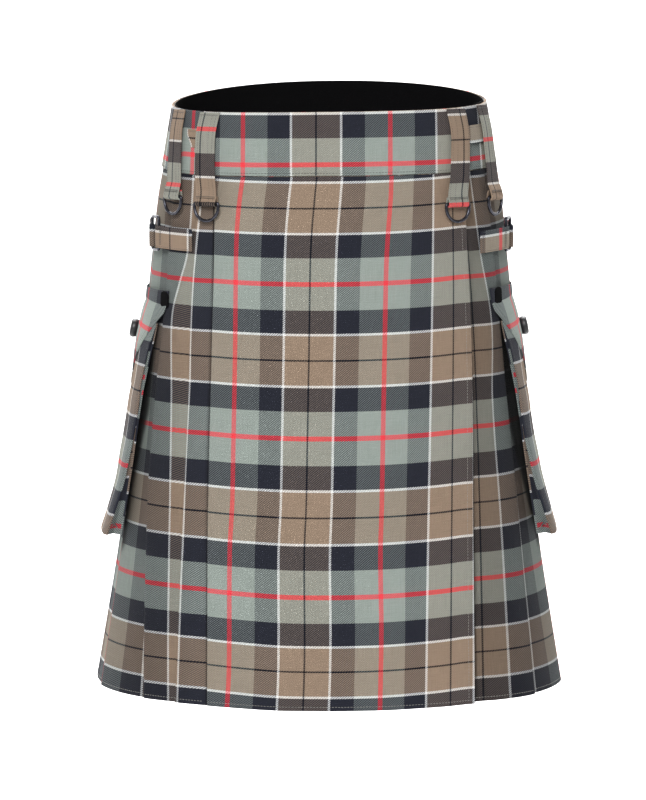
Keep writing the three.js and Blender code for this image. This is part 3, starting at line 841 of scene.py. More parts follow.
def roundFold(stops, arc, inset, way, place, shown=False):
    radius = panels["layer"] / 2
    for angle in (-90, -45, 0, 45, 90):
        turn = math.radians(angle)
        reach = way * radius * (math.cos(turn) - 1)
        depth = inset + radius + radius * math.sin(turn)
        stops.append((arc + reach, depth, place + reach, shown and angle < 0))


def underApronSection(down):
    fold = curveThrough(underApron["fold"], down)
    edge = curveThrough(frontApron["right"], down)
    start = underApron["start"]
    stops = []
    for count, first, last, shown in ((24, start, edge - 14, False), (40, edge - 14, fold - 2, True)):
        for index in range(count):
            arc = mix(first, last, index / count)
            value = settBetween(underApron["stripes"], down, arc)
            stops.append((arc, underApronInset(arc, down), value, shown))
    roundFold(stops, fold, panels["inset"], 1, underApron["stripes"][-1][0], True)
    hidden = fold - panels["underlap"]
    inset = underApronInset(hidden, down) + panels["layer"]
    stops.append((hidden, inset, underApron["stripes"][-1][0] + panels["underlap"], False))
    return stops


def sideLevels(down, arc):
    return skirtSett(down + curveThrough(underApron["raise"], down))


# Painted shadow of the apron's free edge on the under apron, and painted shade over the rest of the under
# apron beyond that edge
def underApronShade(down, arc):
    shade = edgeShade["right"]
    edge = curveThrough(frontApron["right"], down) + shade["shift"]
    beside = shade["strength"] * bump(arc, edge, shade["reach"]) * easedStep(down, *shade["levels"])
    return max(beside, shade["side"] * easedStep(arc, edge - 4, edge + 2))


def buildUnderApron():
    cloth = hangPanel("under_apron_cloth", skirtLevels, underApronSection, sideLevels, skirtHalf,
                      paintedShadeAt=underApronShade)
    finishCloth(cloth, "under_apron")
    sewHem(cloth, "under_apron")


# Knife pleats. Each face comes out from under the fold before it and ends in its own fold.
# stripesOf(face) gives the (arc, place in the sett) of each stripe that it shows, in its own way.
def pleatSection(way, start, emerge, folds, stripesOf, lift=0.0):
    inset, layer = panels["inset"], panels["layer"]
    stops = []
    begin, depth = emerge[0], emerge[1] - inset
    for index, fold in enumerate(folds):
        shown = stripesOf(index)
        end = fold - way * layer / 2

        def depthAt(place):
            return inset + depth * (fold - place) / (fold - begin)

        if index == 0:
            stops.append((start[0], start[1], shown[0][1] - way * panels["underlap"], False))
        else:
            hidden = begin - way * panels["underlap"]
            middle = depthHidden + layer
            for angle in (-90, -30, 30, 90):
                turn = math.radians(angle)
                reach = way * layer / 2 * (1 - math.cos(turn))
                stops.append((hidden + reach, middle + layer / 2 * (1 + math.sin(turn)),
                              shown[0][1] - way * panels["underlap"], False))
        for order, (arc, place) in enumerate(shown):
            least = begin * way + 0.3 * order
            most = end * way - 0.3 * (len(shown) - 1 - order)
            limited = min(max(arc * way, least), most) * way
            stops.append((limited, depthAt(limited) - lift, place, True))
        stops.pop()
        roundFold(stops, fold, inset - lift, way, shown[-1][1], True)
        turnArc = fold - way * panels["underlap"]
        depthHidden = depthAt(turnArc)
        if index == len(folds) - 1:
            stops.append((turnArc, depthHidden + layer, shown[-1][1] + way * panels["underlap"], False))
        begin, depth = fold, 2 * layer
    return stops


leftPleats = {
    "start": -98,
    "folds": [
        [(65, -143), (122, -147), (194, -153), (297, -155.7), (462, -161.8), (610, -165.2)],
        [(65, -181), (200, -194), (300, -208), (380, -213), (510, -210), (610, -206)],
        [(65, -220.5), (610, -292)],
    ],
    "stripes": [
        [(-26.7, 0.0),
         (-52, [(65, -136.5), (140, -146), (177, -150), (235, -152.6), (276, -152.8), (329, -155.4),
                (380, -157.2), (434, -158.3), (483, -160.1), (610, -163)]),
         (-55, 1.0)],
        [(-94, 0.0),
         (-105, [(65, -154), (98, -155.2), (148, -161), (180, -172), (206, -180.5), (232, -182.5),
                 (299, -180.5), (505, -178), (610, -175.5)]),
         (-130.3, 1.0)],
        [(-258, 0.0),
         (-263, [(65, -186), (400, -213), (520, -212), (610, -214)]),
         (-287.3, [(65, -200), (456, -234.6), (524, -240), (566, -243.5), (610, -248)]),
         (-313, 1.0)],
    ],
    "raise": [(65, 1.5), (610, 4)],
    "raiseLast": [(65, 1.5), (400, 5), (480, 8), (610, 9)],
}


def leftSection(down):
    folds = [curveThrough(fold, down) for fold in leftPleats["folds"]]
    edge = curveThrough(frontApron["left"], down)

    def stripesOf(face):
        begin = edge if face == 0 else folds[face - 1]
        shown = []
        for place, where in leftPleats["stripes"][face]:
            if isinstance(where, float):
                shown.append((mix(begin, folds[face], where), place))
            else:
                arc = curveThrough(where, down)
                shown += [(arc + 1.6, place + 1.6), (arc - 1.6, place - 1.6)]
        return shown

    first = (leftPleats["start"], panels["inset"] + panels["layer"])
    emerge = (edge, panels["inset"] + panels["layer"])
    stops = pleatSection(-1, first, emerge, folds, stripesOf)
    return turnRound(stops)


# Lists the stops the other way round. A stop's mark is for the cloth that follows it.
def turnRound(stops):
    marks = [stop[3] for stop in stops[:-1]][::-1] + [False]
    return [(*stop[:3], mark) for stop, mark in zip(stops[::-1], marks)]


def leftLevels(down, arc):
    second = curveThrough(leftPleats["folds"][1], down)
    beyond = easedStep(-arc, -second - 0.9, -second + 0.2)
    return skirtSett(down + mix(curveThrough(leftPleats["raise"], down),
                                curveThrough(leftPleats["raiseLast"], down), beyond))


# Painted shadow: the cloth beside and behind a pocket has its colour darkened, as if it lay in the pocket's
# shade
pocketShade = {
    "strength": 0.8,
    "levels": (196, 236, 448, 478),
    "left": [(203, -202), (231, -214), (262, -218), (294, -222), (315, -224.5), (336, -232), (358, -239.5),
             (386, -249.5), (413, -256.5), (453, -262)],
    "right": [(216, 198), (237, 203), (263, 208), (295, 214), (327, 222), (359, 232.5), (392, 247),
              (420, 261), (443, 275)],
    "soft": 8,
}


def shadeBehind(side):
    way = 1 if side == "right" else -1

    def shadeAt(down, arc):
        first, full, last, gone = pocketShade["levels"]
        edge = way * curveThrough(pocketShade[side], down)
        beyond = easedStep(way * arc, edge - pocketShade["soft"], edge + pocketShade["soft"])
        beside = easedStep(down, first, full) * (1 - easedStep(down, last, gone))
        return pocketShade["strength"] * beyond * beside

    return shadeAt


# Painted shade on the left pleats: the apron edge's painted shadow, a painted darkening over the side and
# the pocket's painted shadow
def leftShade(down, arc):
    shade = edgeShade["left"]
    edge = curveThrough(frontApron["left"], down) + shade["shift"]
    beside = shade["strength"] * bump(arc, edge, shade["reach"])
    side = shade["side"] * easedStep(-arc, -shade["from"][0], -shade["from"][1])
    return max(beside, side, shadeBehind("left")(down, arc))


# Painted shade on the right pleats: an even painted darkening over all of them, and the pocket's painted
# shadow
def rightShade(down, arc):
    return max(edgeShade["right"]["side"], shadeBehind("right")(down, arc))


def buildLeftPleats():
    cloth = hangPanel("left_side_pleats_cloth", skirtLevels, leftSection, leftLevels, skirtHalf,
                      paintedShadeAt=leftShade)
    finishCloth(cloth, "left_side_pleats")
    sewHem(cloth, "left")


rightPleats = {
    "lastFold": [(65, 233.8), (610, 316)],
    "stripes": [
        (412, 0.0),
        (419, [(65, 187), (200, 207), (289, 217.5), (392, 229), (494, 236), (610, 243)]),
        (444.3, [(65, 204), (300, 232), (534, 266), (610, 277)]),
        (471, 1.0),
    ],
}


def rightSection(down):
    first = curveThrough(underApron["fold"], down)
    last = curveThrough(rightPleats["lastFold"], down)
    hidden = first - panels["underlap"]
    start = (hidden, underApronInset(hidden, down) + 2 * panels["layer"])
    emerge = (first, panels["inset"] + 2 * panels["layer"])

    def stripesOf(face):
        shown = []
        for place, where in rightPleats["stripes"]:
            if isinstance(where, float):
                shown.append((mix(first, last, where), place))
            else:
                arc = curveThrough(where, down)
                shown += [(arc - 1.6, place - 1.6), (arc + 1.6, place + 1.6)]
        return shown

    return pleatSection(1, start, emerge, [last], stripesOf)


def buildRightPleats():
    cloth = hangPanel("right_side_pleats_cloth", skirtLevels, rightSection, sideLevels, skirtHalf,
                      paintedShadeAt=rightShade)
    finishCloth(cloth, "right_side_pleats")
    sewHem(cloth, "right")


# Back pleats: six on each side, pointing to the centre, pleated so that the sett carries on
backPleats = {"eachSide": 6, "centreGap": (5, 9), "raise": 9}


def backSection(down):
    length = ringLength(down)
    hemLength = ringLength(form["length"])
    gap = mix(*backPleats["centreGap"], down / form["length"])
    hemGap = backPleats["centreGap"][1]
    rightBefore = curveThrough(underApron["fold"], down)
    rightLast = curveThrough(rightPleats["lastFold"], down)
    leftBefore = length + curveThrough(leftPleats["folds"][1], down)
    leftLast = length + curveThrough(leftPleats["folds"][2], down)
    halves = []
    for way, before, last, centre, hemStart, hemEnd, base in (
            (1, rightBefore, rightLast, length / 2 - gap, rightPleats["lastFold"][-1][1],
             hemLength / 2 - hemGap, 471),
            (-1, leftBefore, leftLast, length / 2 + gap,
             hemLength + leftPleats["folds"][2][-1][1], hemLength / 2 + hemGap, -313)):
        steps = backPleats["eachSide"]
        folds = [mix(last, centre, (index + 1) / steps) for index in range(steps)]

        def stripesOf(face):
            begin = last if face == 0 else folds[face - 1]
            hemMiddle = mix(hemStart, hemEnd, (face + 0.5) / steps)
            middle = (begin + folds[face]) / 2
            place = base + hemMiddle - hemStart
            return [(begin, place + begin - middle), (folds[face], place + folds[face] - middle)]

        share = panels["underlap"] / abs(last - before)
        start = (last - way * panels["underlap"], panels["inset"] + 2 * panels["layer"] * (share + 1))
        emerge = (last, panels["inset"] + 2 * panels["layer"])
        halves.append(pleatSection(way, start, emerge, folds, stripesOf))
    right, left = halves[0], turnRound(halves[1])
    centre = [(right[-1][0], right[-1][1] + panels["layer"], right[-1][2], False),
              (left[0][0], left[0][1] + panels["layer"], left[0][2], False)]
    return [*right, *centre, *left]


def backLevels(down, arc):
    return skirtSett(down + backPleats["raise"] * easedStep(down, 65, 480))


def buildBackPleats():
    cloth = hangPanel("back_pleats_cloth", skirtLevels, backSection, backLevels, skirtHalf, (4.6, 9))
    finishCloth(cloth, "back_pleats")
    sewHem(cloth, "back")


buildLining()
buildWaistband()
buildFrontApron()
buildUnderApron()
buildLeftPleats()
buildRightPleats()
buildBackPleats()
print("waistband, aprons and pleats made")


# A smooth path through stops of (point, across direction), cut into short even steps
def smoothPath(stops, step):
    rows = []
    travelled = 0.0
    for index, (point, across) in enumerate(stops):
        if index:
            travelled += (point - stops[index - 1][0]).length
        rows.append((travelled, *point, *across))
    path = []
    for distance in panelLevels(0, travelled, step):
        values = [curveThrough(rows, distance, column) for column in range(1, 7)]
        path.append((distance, Vector(values[:3]), Vector(values[3:]).normalized()))
    return path


# A strap along a path. settAt(distance, side, point) gives the place in the sett, and every
# groove is a (side, depth) where a line of stitches pulls the cloth in.
def strapCloth(name, path, width, thickness, settAt, grooves):
    sides = panelLevels(-width / 2, width / 2, 1.7)
    points, coords, halves = [], [], []
    for distance, middle, across in path:
        line = [middle + across * side for side in sides]
        points.append(line)
        coords.append([settAt(distance, side, point) for side, point in zip(sides, line)])
        sizes = []
        for side in sides:
            rim = min(distance, path[-1][0] - distance, side + width / 2, width / 2 - side)
            pressed = sum(depth * bump(side, place, 1.5) for place, depth in grooves)
            sizes.append(thickness / 2 * rimShare(rim) - pressed)
        halves.append(sizes)
    cloth = makeCloth(name, points, coords, halves, clothMaterial)
    cloth["distances"] = [stop[0] for stop in path]
    cloth["sides"] = sides
    return cloth


def nearest(values, wanted):
    return min(range(len(values)), key=lambda index: abs(values[index] - wanted))


def lengthwiseRun(cloth, side, first, last):
    column = nearest(cloth["sides"], side)
    return runOver(cloth, [(row, column) for row, distance in enumerate(cloth["distances"])
                           if first <= distance <= last])


def crosswiseRun(cloth, distance, reach):
    row = nearest(cloth["distances"], distance)
    return runOver(cloth, [(row, column) for column, side in enumerate(cloth["sides"])
                           if abs(side) <= reach])


# Hanging straps: each comes down from the top edge, passes round the ring's bar and is sewn there
hangingStraps = {
    "width": 25,
    "thickness": 1.5,
    "rows": [(0.0055, 1.25, 0), (0.237, 3.2, 0.85), (0.473, 3.4, 1), (0.71, 4, 0.8), (0.839, 4.6, 0.4)],
    "loopRadius": 2.9,
    "tack": (8, 0.9),
    "end": (7, -1.6),
    "flatLengths": {"left_near": 0.118, "left_far": 0.114, "right_near": 0.122, "right_far": 0.119},
    "each": {  # where the strap starts and its bar lies, its bow, its stripes by distance down
        "left_near": {
            "topArc": -128.5, "barArc": -128.6, "barDown": 93, "bow": -4.4, "line": -5.75,
            "stripes": [(0, -18.4), (17.7, 0), (42.3, 26.7), (66.7, 52), (93, 79)], "rows": (3.4, -9.6, 9.9),
        },
        "left_far": {
            "topArc": -176, "barArc": -174, "barDown": 88.6, "bow": -2.5, "line": -2.4,
            "stripes": [(0, 90), (32.9, 52), (55.5, 26.7), (77.8, 0), (89, -13)], "rows": (4.6, -10, 10),
        },
        "right_near": {
            "topArc": 138, "barArc": 135.2, "barDown": 96.5, "bow": 5, "line": 4.1,
            "stripes": [(0, 112), (6.4, 105), (32.4, 78.5), (55.4, 52), (76.9, 26.7), (97.9, 0)],
            "rows": (-4.3, -10.2, 10.2),
        },
        "right_far": {
            "topArc": 182.5, "barArc": 191, "barDown": 94, "bow": 4, "line": -3,
            "stripes": [(0, -39), (36.2, 0), (59.5, 26.7), (81.8, 52), (94, 65)], "rows": (3.5, -10, 10),
        },
    },
}


def barFrame(strap):
    return placeOnForm(strap["barDown"], strap["barArc"], ringWire["barOut"])


def hangingStrapPath(strap):
    stops = []
    for share, out, bow in hangingStraps["rows"]:
        arc = mix(strap["topArc"], strap["barArc"], share) + strap["bow"] * bow
        point, _, along = placeOnForm(strap["barDown"] * share, arc, out)
        stops.append((point, along))
    bar, outward, along = barFrame(strap)
    up = Vector((0, 0, 1))

    def addAtBar(out, rise):
        stops.append((bar + outward * out + up * rise, along))

    addAtBar(hangingStraps["tack"][1], hangingStraps["tack"][0])
    for index in range(9):
        angle = math.pi * index / 8
        radius = hangingStraps["loopRadius"]
        addAtBar(radius * math.cos(angle), -radius * math.sin(angle))
    addAtBar(hangingStraps["end"][1], hangingStraps["end"][0])
    return smoothPath(stops, 1.5)


def buildHangingStrap(name, strap):
    path = hangingStrapPath(strap)
    top = placeOnForm(0, strap["topArc"])[0].z
    lowest = min(range(len(path)), key=lambda index: path[index][1].z)
    lowDistance = path[lowest][0]
    lowPlace = curveThrough(strap["stripes"], top - path[lowest][1].z)

    def settAt(distance, side, point):
        place = curveThrough(strap["stripes"], top - point.z)
        if distance > lowDistance:
            place = lowPlace + distance - lowDistance
        return (sett["half"] + side - strap["line"], place)

    inner, left, right = strap["rows"]
    grooves = [(inner, 0.2), (left, 0.16), (right, 0.16), (strap["line"], 0.1)]
    cloth = strapCloth(f"strap_{name}_cloth", path, hangingStraps["width"],
                       hangingStraps["thickness"], settAt, grooves)
    finishCloth(cloth, f"strap_{name}")
    tackAt = lowDistance - hangingStraps["tack"][0] - 1.5
    lines = [lengthwiseRun(cloth, side, 2, lowDistance - 2) for side in strap["rows"]]
    sewRuns(f"strap_{name}_stitches", lines, darkThread, 2.0, 0.8, 0.17)
    bars = [crosswiseRun(cloth, tackAt + shift, 11.6) for shift in (-1.0, 0.0, 1.0)]
    bars.append(crosswiseRun(cloth, 3.2, 11.6))
    sewRuns(f"strap_{name}_tack", bars, darkThread, 1.5, 0.15, 0.3)


# Wire rings. Each starts as a round section and is extruded and spun along its outline.
ringWire = {
    "barOut": 6,
    "swingOut": 2,
    "sides": 14,
    "dRing": {"wire": 1.7, "halfWidth": 14.5, "leg": 4, "corner": 2},
    "hipRing": {"wire": 1.7, "halfLength": 9, "halfHeight": 17, "corner": 3},
}


def deselectAll():
    if bpy.context.object and bpy.context.object.mode == "EDIT":
        bpy.ops.object.mode_set(mode="OBJECT")
    bpy.ops.object.select_all(action="DESELECT")


# Runs a round wire along a closed outline of ("go", x, z) and ("turn", degrees, x, z) moves.
# It starts at a straight middle, in a plane across X, and the last move comes back to it.
def spinWire(name, start, radius, moves):
    deselectAll()
    bpy.ops.mesh.primitive_circle_add(vertices=ringWire["sides"], radius=radius * mm, fill_type="NOTHING",
                                      location=(start[0] * mm, 0, start[1] * mm),
                                      rotation=(0, math.pi / 2, 0))
    piece = bpy.context.object
    piece.name = name
    bpy.ops.object.transform_apply(location=True, rotation=True, scale=True)
    bpy.ops.object.mode_set(mode="EDIT")
    bpy.ops.mesh.select_all(action="SELECT")
    for move in moves:
        if move[0] == "go":
            shift = {"value": (move[1] * mm, 0, move[2] * mm)}
            bpy.ops.mesh.extrude_region_move(TRANSFORM_OT_translate=shift)
        else:
            steps = max(4, round(abs(move[1]) / 12))
            bpy.ops.mesh.spin(steps=steps, angle=math.radians(-move[1]), axis=(0, 1, 0),
                              center=(move[2] * mm, 0, move[3] * mm), use_auto_merge=False)
    bpy.ops.mesh.select_all(action="SELECT")
    bpy.ops.mesh.remove_doubles(threshold=0.00002)
    bpy.ops.mesh.normals_make_consistent(inside=False)
    bpy.ops.object.mode_set(mode="OBJECT")
    bpy.ops.object.shade_smooth()
    piece.data.materials.clear()
    piece.data.materials.append(metalMaterial)
    return piece


# Copies a model to a place, with axes along the bar, out of the cloth and up
def placeCopy(model, name, body, node, origin, right, outward, swing=0.0):
    up = right.cross(outward)
    turned = Matrix((right, outward, up)).transposed().to_4x4()
    matrix = Matrix.Translation(origin * mm) @ turned @ Matrix.Rotation(math.radians(swing), 4, "X")
    piece = bpy.data.objects.new(name, model.data.copy())
    piece.data.transform(matrix)
    bpy.context.scene.collection.objects.link(piece)
    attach(piece, body)
    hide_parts(node)


def modelDRing():
    ring = ringWire["dRing"]
    width, leg, corner = ring["halfWidth"], ring["leg"], ring["corner"]
    flat = width - corner
    moves = [("go", flat, 0), ("turn", 90, flat, -corner), ("go", 0, corner - leg),
             ("turn", 180, 0, -leg), ("go", 0, leg - corner), ("turn", 90, -flat, -corner),
             ("go", flat, 0)]
    return spinWire("dRingModel", (0, 0), ring["wire"], moves)


def modelHipRing():
    ring = ringWire["hipRing"]
    corner = ring["corner"]
    flat, tall = ring["halfLength"] - corner, ring["halfHeight"] - corner
    moves = [("go", flat, 0), ("turn", 90, flat, tall), ("go", 0, -2 * tall),
             ("turn", 90, flat, -tall), ("go", -2 * flat, 0), ("turn", 90, -flat, -tall),
             ("go", 0, 2 * tall), ("turn", 90, -flat, tall), ("go", flat, 0)]
    return spinWire("hipRingModel", (0, ring["halfHeight"]), ring["wire"], moves)


def buildDRings():
    model = modelDRing()
    for name, strap in hangingStraps["each"].items():
        bar, outward, along = barFrame(strap)
        placeCopy(model, f"d_ring_{name}_wire", f"ring_{name}", f"d_ring_{name}",
                  bar, -along, outward, ringWire["swingOut"])
    bpy.data.objects.remove(model)


for strapName, strapValues in hangingStraps["each"].items():
    buildHangingStrap(strapName, strapValues)
buildDRings()
print("hanging straps and their rings made")


# Short tabs of the same cloth on the band, under the hanging straps
sideTabs = {
    "top": 19,
    "height": 18.5,
    "thickness": 1.2,
    "out": 1.0,
    "each": {
        "left": {"from": -160.5, "to": -124, "start": 51.5, "line": 28, "cut": 7},
        "right": {"from": 134, "to": 190, "start": 44.5, "line": 65, "cut": 0},
    },
}


def buildSideTab(side, tab):
    levels = panelLevels(0, sideTabs["height"], 2.2)
    arcs = panelLevels(tab["from"], tab["to"], 3)
    way = 1 if side == "left" else -1
    points, coords, halves = [], [], []
    for depth in levels:
        down = sideTabs["top"] + depth
        line, places, sizes = [], [], []
        # The left tab's lower front corner is cut off at a slant
        shift = tab["cut"] * easedStep(depth, 4, sideTabs["height"])
        for arc in arcs:
            pulled = arc + shift * (1 - (arc - tab["from"]) / (tab["to"] - tab["from"]))
            line.append(placeOnForm(down, pulled, sideTabs["out"])[0])
            place = tab["start"] + way * (pulled - tab["from"]) * (0.72 if way < 0 else 1)
            level = sett["half"] + down - tab["line"] if way > 0 else 52 + sideTabs["height"] - 1.6 - depth
            places.append((place - (shift if way > 0 else 0), level))
            rim = min(depth, sideTabs["height"] - depth, arc - tab["from"], tab["to"] - arc)
            sizes.append(sideTabs["thickness"] / 2 * rimShare(rim) - 0.14 * bump(rim, 2.2, 1.2))
        points.append(line)
        coords.append(places)
        halves.append(sizes)
    cloth = makeCloth(f"side_tab_{side}_cloth", points, coords, halves, clothMaterial)
    flat = ((tab["to"] - tab["from"]) * mm, sideTabs["height"] * mm)
    finishCloth(cloth, f"side_tab_{side}")
    rows = [nearest(levels, 2.2), nearest(levels, sideTabs["height"] - 2.2)]
    lines = [runOver(cloth, [(row, column) for column in range(2, len(arcs) - 2)]) for row in rows]
    sewRuns(f"side_tab_{side}_stitches", lines, darkThread, 2.0, 0.8, 0.16)


for tabSide, tabValues in sideTabs["each"].items():
    buildSideTab(tabSide, tabValues)


# Hip straps: a front and a rear strap, both looped round an upright rectangular ring
hipStraps = {
    "height": 23,
    "thickness": 1.5,
    "out": 1.8,
    "barOut": 5.4,
    "loopRadius": 3.1,
    "before": 14,
    "lift": 1.5,
    "rise": 2.1,
    "back": 9,
    "ringAbove": 3.2,
    "topPlace": 46.2,
    "flatLengths": {"front": 0.086, "rear": 0.098},
    "each": {
        "left": {"way": -1, "down": 132.5, "front": 149.5, "ring": 207, "rear": 282, "place": 47},
        "right": {"way": 1, "down": 138.5, "front": 169.2, "ring": 223, "rear": 298, "place": -34},
    },
}


def hipStrapPath(values, sewnArc, towards, barPoint, ringFrame):
    down, ringArc = values["down"], values["way"] * values["ring"]
    _, outward, along = ringFrame
    up = Vector((0, 0, 1)) * towards
    lastArc = ringArc - towards * (ringWire["hipRing"]["halfLength"] + hipStraps["before"])
    stops = []
    for index in range(7):
        share = index / 6
        lift = hipStraps["lift"] * share if share < 1 else hipStraps["rise"]
        stops.append((placeOnForm(down, mix(sewnArc, lastArc, share), hipStraps["out"] + lift)[0], up))
    radius = hipStraps["loopRadius"]
    for index in range(9):
        angle = math.pi * index / 8
        reach = outward * radius * math.cos(angle) + along * towards * radius * math.sin(angle)
        stops.append((barPoint + reach, up))
    stops.append((barPoint - outward * radius - along * towards * hipStraps["back"], up))
    return smoothPath(stops, 1.7)


def buildHipSide(side, values):
    way = values["way"]
    ringFrame = placeOnForm(values["down"], way * values["ring"], hipStraps["barOut"])
    middle, outward, along = ringFrame
    for part, sewn, towards in (("front", values["front"], way), ("rear", values["rear"], -way)):
        bar = middle - along * towards * ringWire["hipRing"]["halfLength"]
        path = hipStrapPath(values, way * sewn, towards, bar, ringFrame)

        def settAt(distance, across, point):
            fromTop = hipStraps["height"] / 2 - across * towards
            return (values["place"] + distance, hipStraps["topPlace"] + fromTop)

        edge = hipStraps["height"] / 2 - 2.2
        grooves = [(edge, 0.17), (-edge, 0.17)]
        node = f"hip_strap_{side}" if part == "front" else f"hip_strap_rear_{side}"
        cloth = strapCloth(f"{node}_cloth", path, hipStraps["height"], hipStraps["thickness"],
                           settAt, grooves)
        finishCloth(cloth, node)
        turnAt = path[-1][0] - hipStraps["back"] - math.pi * hipStraps["loopRadius"]
        lines = [lengthwiseRun(cloth, place, 2, turnAt) for place in (edge, -edge)]
        sewRuns(f"{node}_stitches", lines, darkThread, 2.0, 0.8, 0.17)
        bars = [crosswiseRun(cloth, turnAt - 6 + shift, 10.4) for shift in (-0.8, 0.8)]
        bars.append(crosswiseRun(cloth, 2.6, 10.4))
        sewRuns(f"{node}_tack", bars, darkThread, 1.5, 0.15, 0.28)
    return ringFrame


def buildHipSides():
    model = modelHipRing()
    for side, values in hipStraps["each"].items():
        middle, outward, along = buildHipSide(side, values)
        placeCopy(model, f"hip_ring_{side}_wire", "kilt", f"hip_ring_{side}",
                  middle + Vector((0, 0, hipStraps["ringAbove"])), -along, outward)
    bpy.data.objects.remove(model)


buildHipSides()
print("side tabs and hip straps made")


# Cargo pockets: a back, a front and a gusset that folds inwards between them, under a pointed flap
pockets = {
    "behindSide": 9,
    "standOff": 1.6,
    "half": 0.5,
    "top": 226,
    "bottom": 448,
    "halfWidths": [(226, 81), (262, 83), (305, 85), (350, 86), (391, 86), (420, 86), (448, 85)],
    "wrap": [(191, 1), (225, 0.96), (262, 0.72), (305, 0.5), (391, 0.4), (448, 0.33)],
    "surface": [(191, 0.6), (205, 1), (221, 4), (234, 5.5), (248, 7), (275, 7.4), (305, 7.5), (346, 8.3),
                (366, 9.5), (391, 11), (418, 15), (442, 18.5), (448, 19)],
    "underFlap": 1.35,
    "covered": (284, 312),  # where the front panel comes out from under the flap
    "leastFront": 1.25,
    "rim": {"width": 3.4, "extra": 0.55, "stitch": 5.4},
    "roll": {"width": 11, "depth": 3.2},
    "gusset": {"fold": 1.4, "bellows": 1.3, "from": 0.35},
    "frontRed": 374.7,
    "backRed": 298.3,
    "gussetRed": 439,
    "edgePlace": 27.5,
    "flap": {
        "top": 191.5, "cornerDrop": 23.5, "tipDrop": 106, "halfWidth": 89,
        "red": 225.9, "slant": 0.094, "edgePlace": -45, "stitches": (2.8, 7.2), "foldLine": 14,
        "roundness": 1.5, "rootStitch": 0.022,
    },
    "button": {"radius": 10.2, "height": 8.6, "aboveTip": 59.1, "standOff": 0.4},
}


def pocketPlace(way, down, across, out):
    halfWidth = curveThrough(form["rows"], down, 1)
    halfDepth = curveThrough(form["rows"], down, 2)
    y = pockets["behindSide"] + across
    onForm = halfWidth * (1 - abs(y / halfDepth) ** form["squareness"]) ** (1 / form["squareness"])
    x = mix(halfWidth, onForm, curveThrough(pockets["wrap"], down)) + pockets["standOff"] + out
    return Vector((way * x, y, heightAt(down, way * math.pi / 2)))


def flapOut(down):
    return curveThrough(pockets["surface"], down) - pockets["half"] - pockets["standOff"]


# The pocket's open rims roll in towards each other
def frontOut(down, across=0.0, way=1):
    covered = 1 - easedStep(down, *pockets["covered"])
    uneven = noise.noise(Vector((across / 48, down / 62, 4.0 * way))) * easedStep(down, 250, 320)
    fromEdge = max(curveThrough(pockets["halfWidths"], down) - abs(across), 0)
    rolled = pockets["roll"]["depth"] * (1 - min(fromEdge / pockets["roll"]["width"], 1)) ** 2
    out = flapOut(down) - pockets["underFlap"] * covered + 1.3 * uneven - rolled * (1 - covered)
    return max(out, pockets["leastFront"])


# The stops across a pocket's panel, close together at both edges
def acrossStops(halfWidth, count):
    inside = [mix(-halfWidth, halfWidth, index / count) for index in range(1, count)]
    return [-halfWidth, -halfWidth + 0.35, -halfWidth + 0.9, *inside,
            halfWidth - 0.9, halfWidth - 0.35, halfWidth]


def buildPocketPanel(side, way, part, outAt, red):
    levels = panelLevels(pockets["top"], pockets["bottom"], 3.6)
    rim = pockets["rim"]
    points, coords, halves = [], [], []
    for down in levels:
        halfWidth = curveThrough(pockets["halfWidths"], down)
        line, places, sizes = [], [], []
        for across in acrossStops(halfWidth, 44):
            edge = min(halfWidth - abs(across), pockets["bottom"] - down)
            line.append(pocketPlace(way, down, across, outAt(down, across, way)))
            places.append((pockets["edgePlace"] + across + halfWidth, down - red))
            fuller = rim["extra"] * bump(edge, 1.8, rim["width"]) * easedStep(down, 250, 330)
            pressed = 0.16 * bump(edge, rim["stitch"], 1.5)
            sizes.append((pockets["half"] + fuller) * rimShare(min(edge, down - pockets["top"])) - pressed)
        order = 1 if way > 0 else -1
        points.append(line[::order])
        coords.append(places[::order])
        halves.append(sizes[::order])
    cloth = makeCloth(f"pocket_{part}_{side}_cloth", points, coords, halves, clothMaterial)
    finishCloth(cloth, f"pocket_{part}_{side}")
    if part == "front":
        columns = [nearest(acrossStops(85, 44), place) for place in (-79.5, 79.5)]
        lines = [runOver(cloth, [(row, column) for row in range(4, len(levels) - 6)])
                 for column in columns]
        row = nearest(levels, pockets["bottom"] - rim["stitch"])
        lines.append(runOver(cloth, [(row, column) for column in range(4, 44)]))
        sewRuns(f"pocket_{part}_{side}_stitches", lines, darkThread, 2.2, 0.9, 0.18)


def buildGusset(side, way):
    gusset = pockets["gusset"]
    edge = []
    for down in panelLevels(pockets["top"], pockets["bottom"], 3.6):
        halfWidth = curveThrough(pockets["halfWidths"], down)
        edge.append((down, halfWidth))
    stops = [(down, -halfWidth, 1, 0) for down, halfWidth in edge[:-1]]
    bottom, halfWidth = edge[-1]
    stops.append((bottom, -halfWidth, 1, 1))
    stops += [(bottom, mix(-halfWidth, halfWidth, index / 46), 0, 1) for index in range(1, 46)]
    stops.append((bottom, halfWidth, -1, 1))
    stops += [(down, halfWidth, -1, 0) for down, halfWidth in edge[:-1][::-1]]
    points, coords, halves = [], [], []
    profile = [0, 0.06, 0.16, 0.3, 0.42, 0.5, 0.58, 0.7, 0.84, 0.94, 1]
    for share in profile:
        line, places, sizes = [], [], []
        for index, (down, across, inwards, upwards) in enumerate(stops):
            depth = frontOut(down, across, way)
            deepest = gusset["bellows"] * max(depth / 2 - 0.6, 0)
            folded = gusset["fold"] + deepest * (1 - abs(2 * share - 1) ** 1.3)
            out = mix(gusset["from"], depth - gusset["from"], share)
            line.append(pocketPlace(way, down - folded * upwards, across + folded * inwards, out))
            level = down - pockets["gussetRed"] + (abs(across) - halfWidth) * upwards * 0.4
            places.append((34 + share * depth, level))
            sizes.append(0.42 * (0.6 if share in (0, 1) else 1))
        points.append(line)
        coords.append(places)
        halves.append(sizes)
    cloth = makeCloth(f"pocket_gusset_{side}_cloth", points, coords, halves, clothMaterial)
    finishCloth(cloth, f"pocket_gusset_{side}")


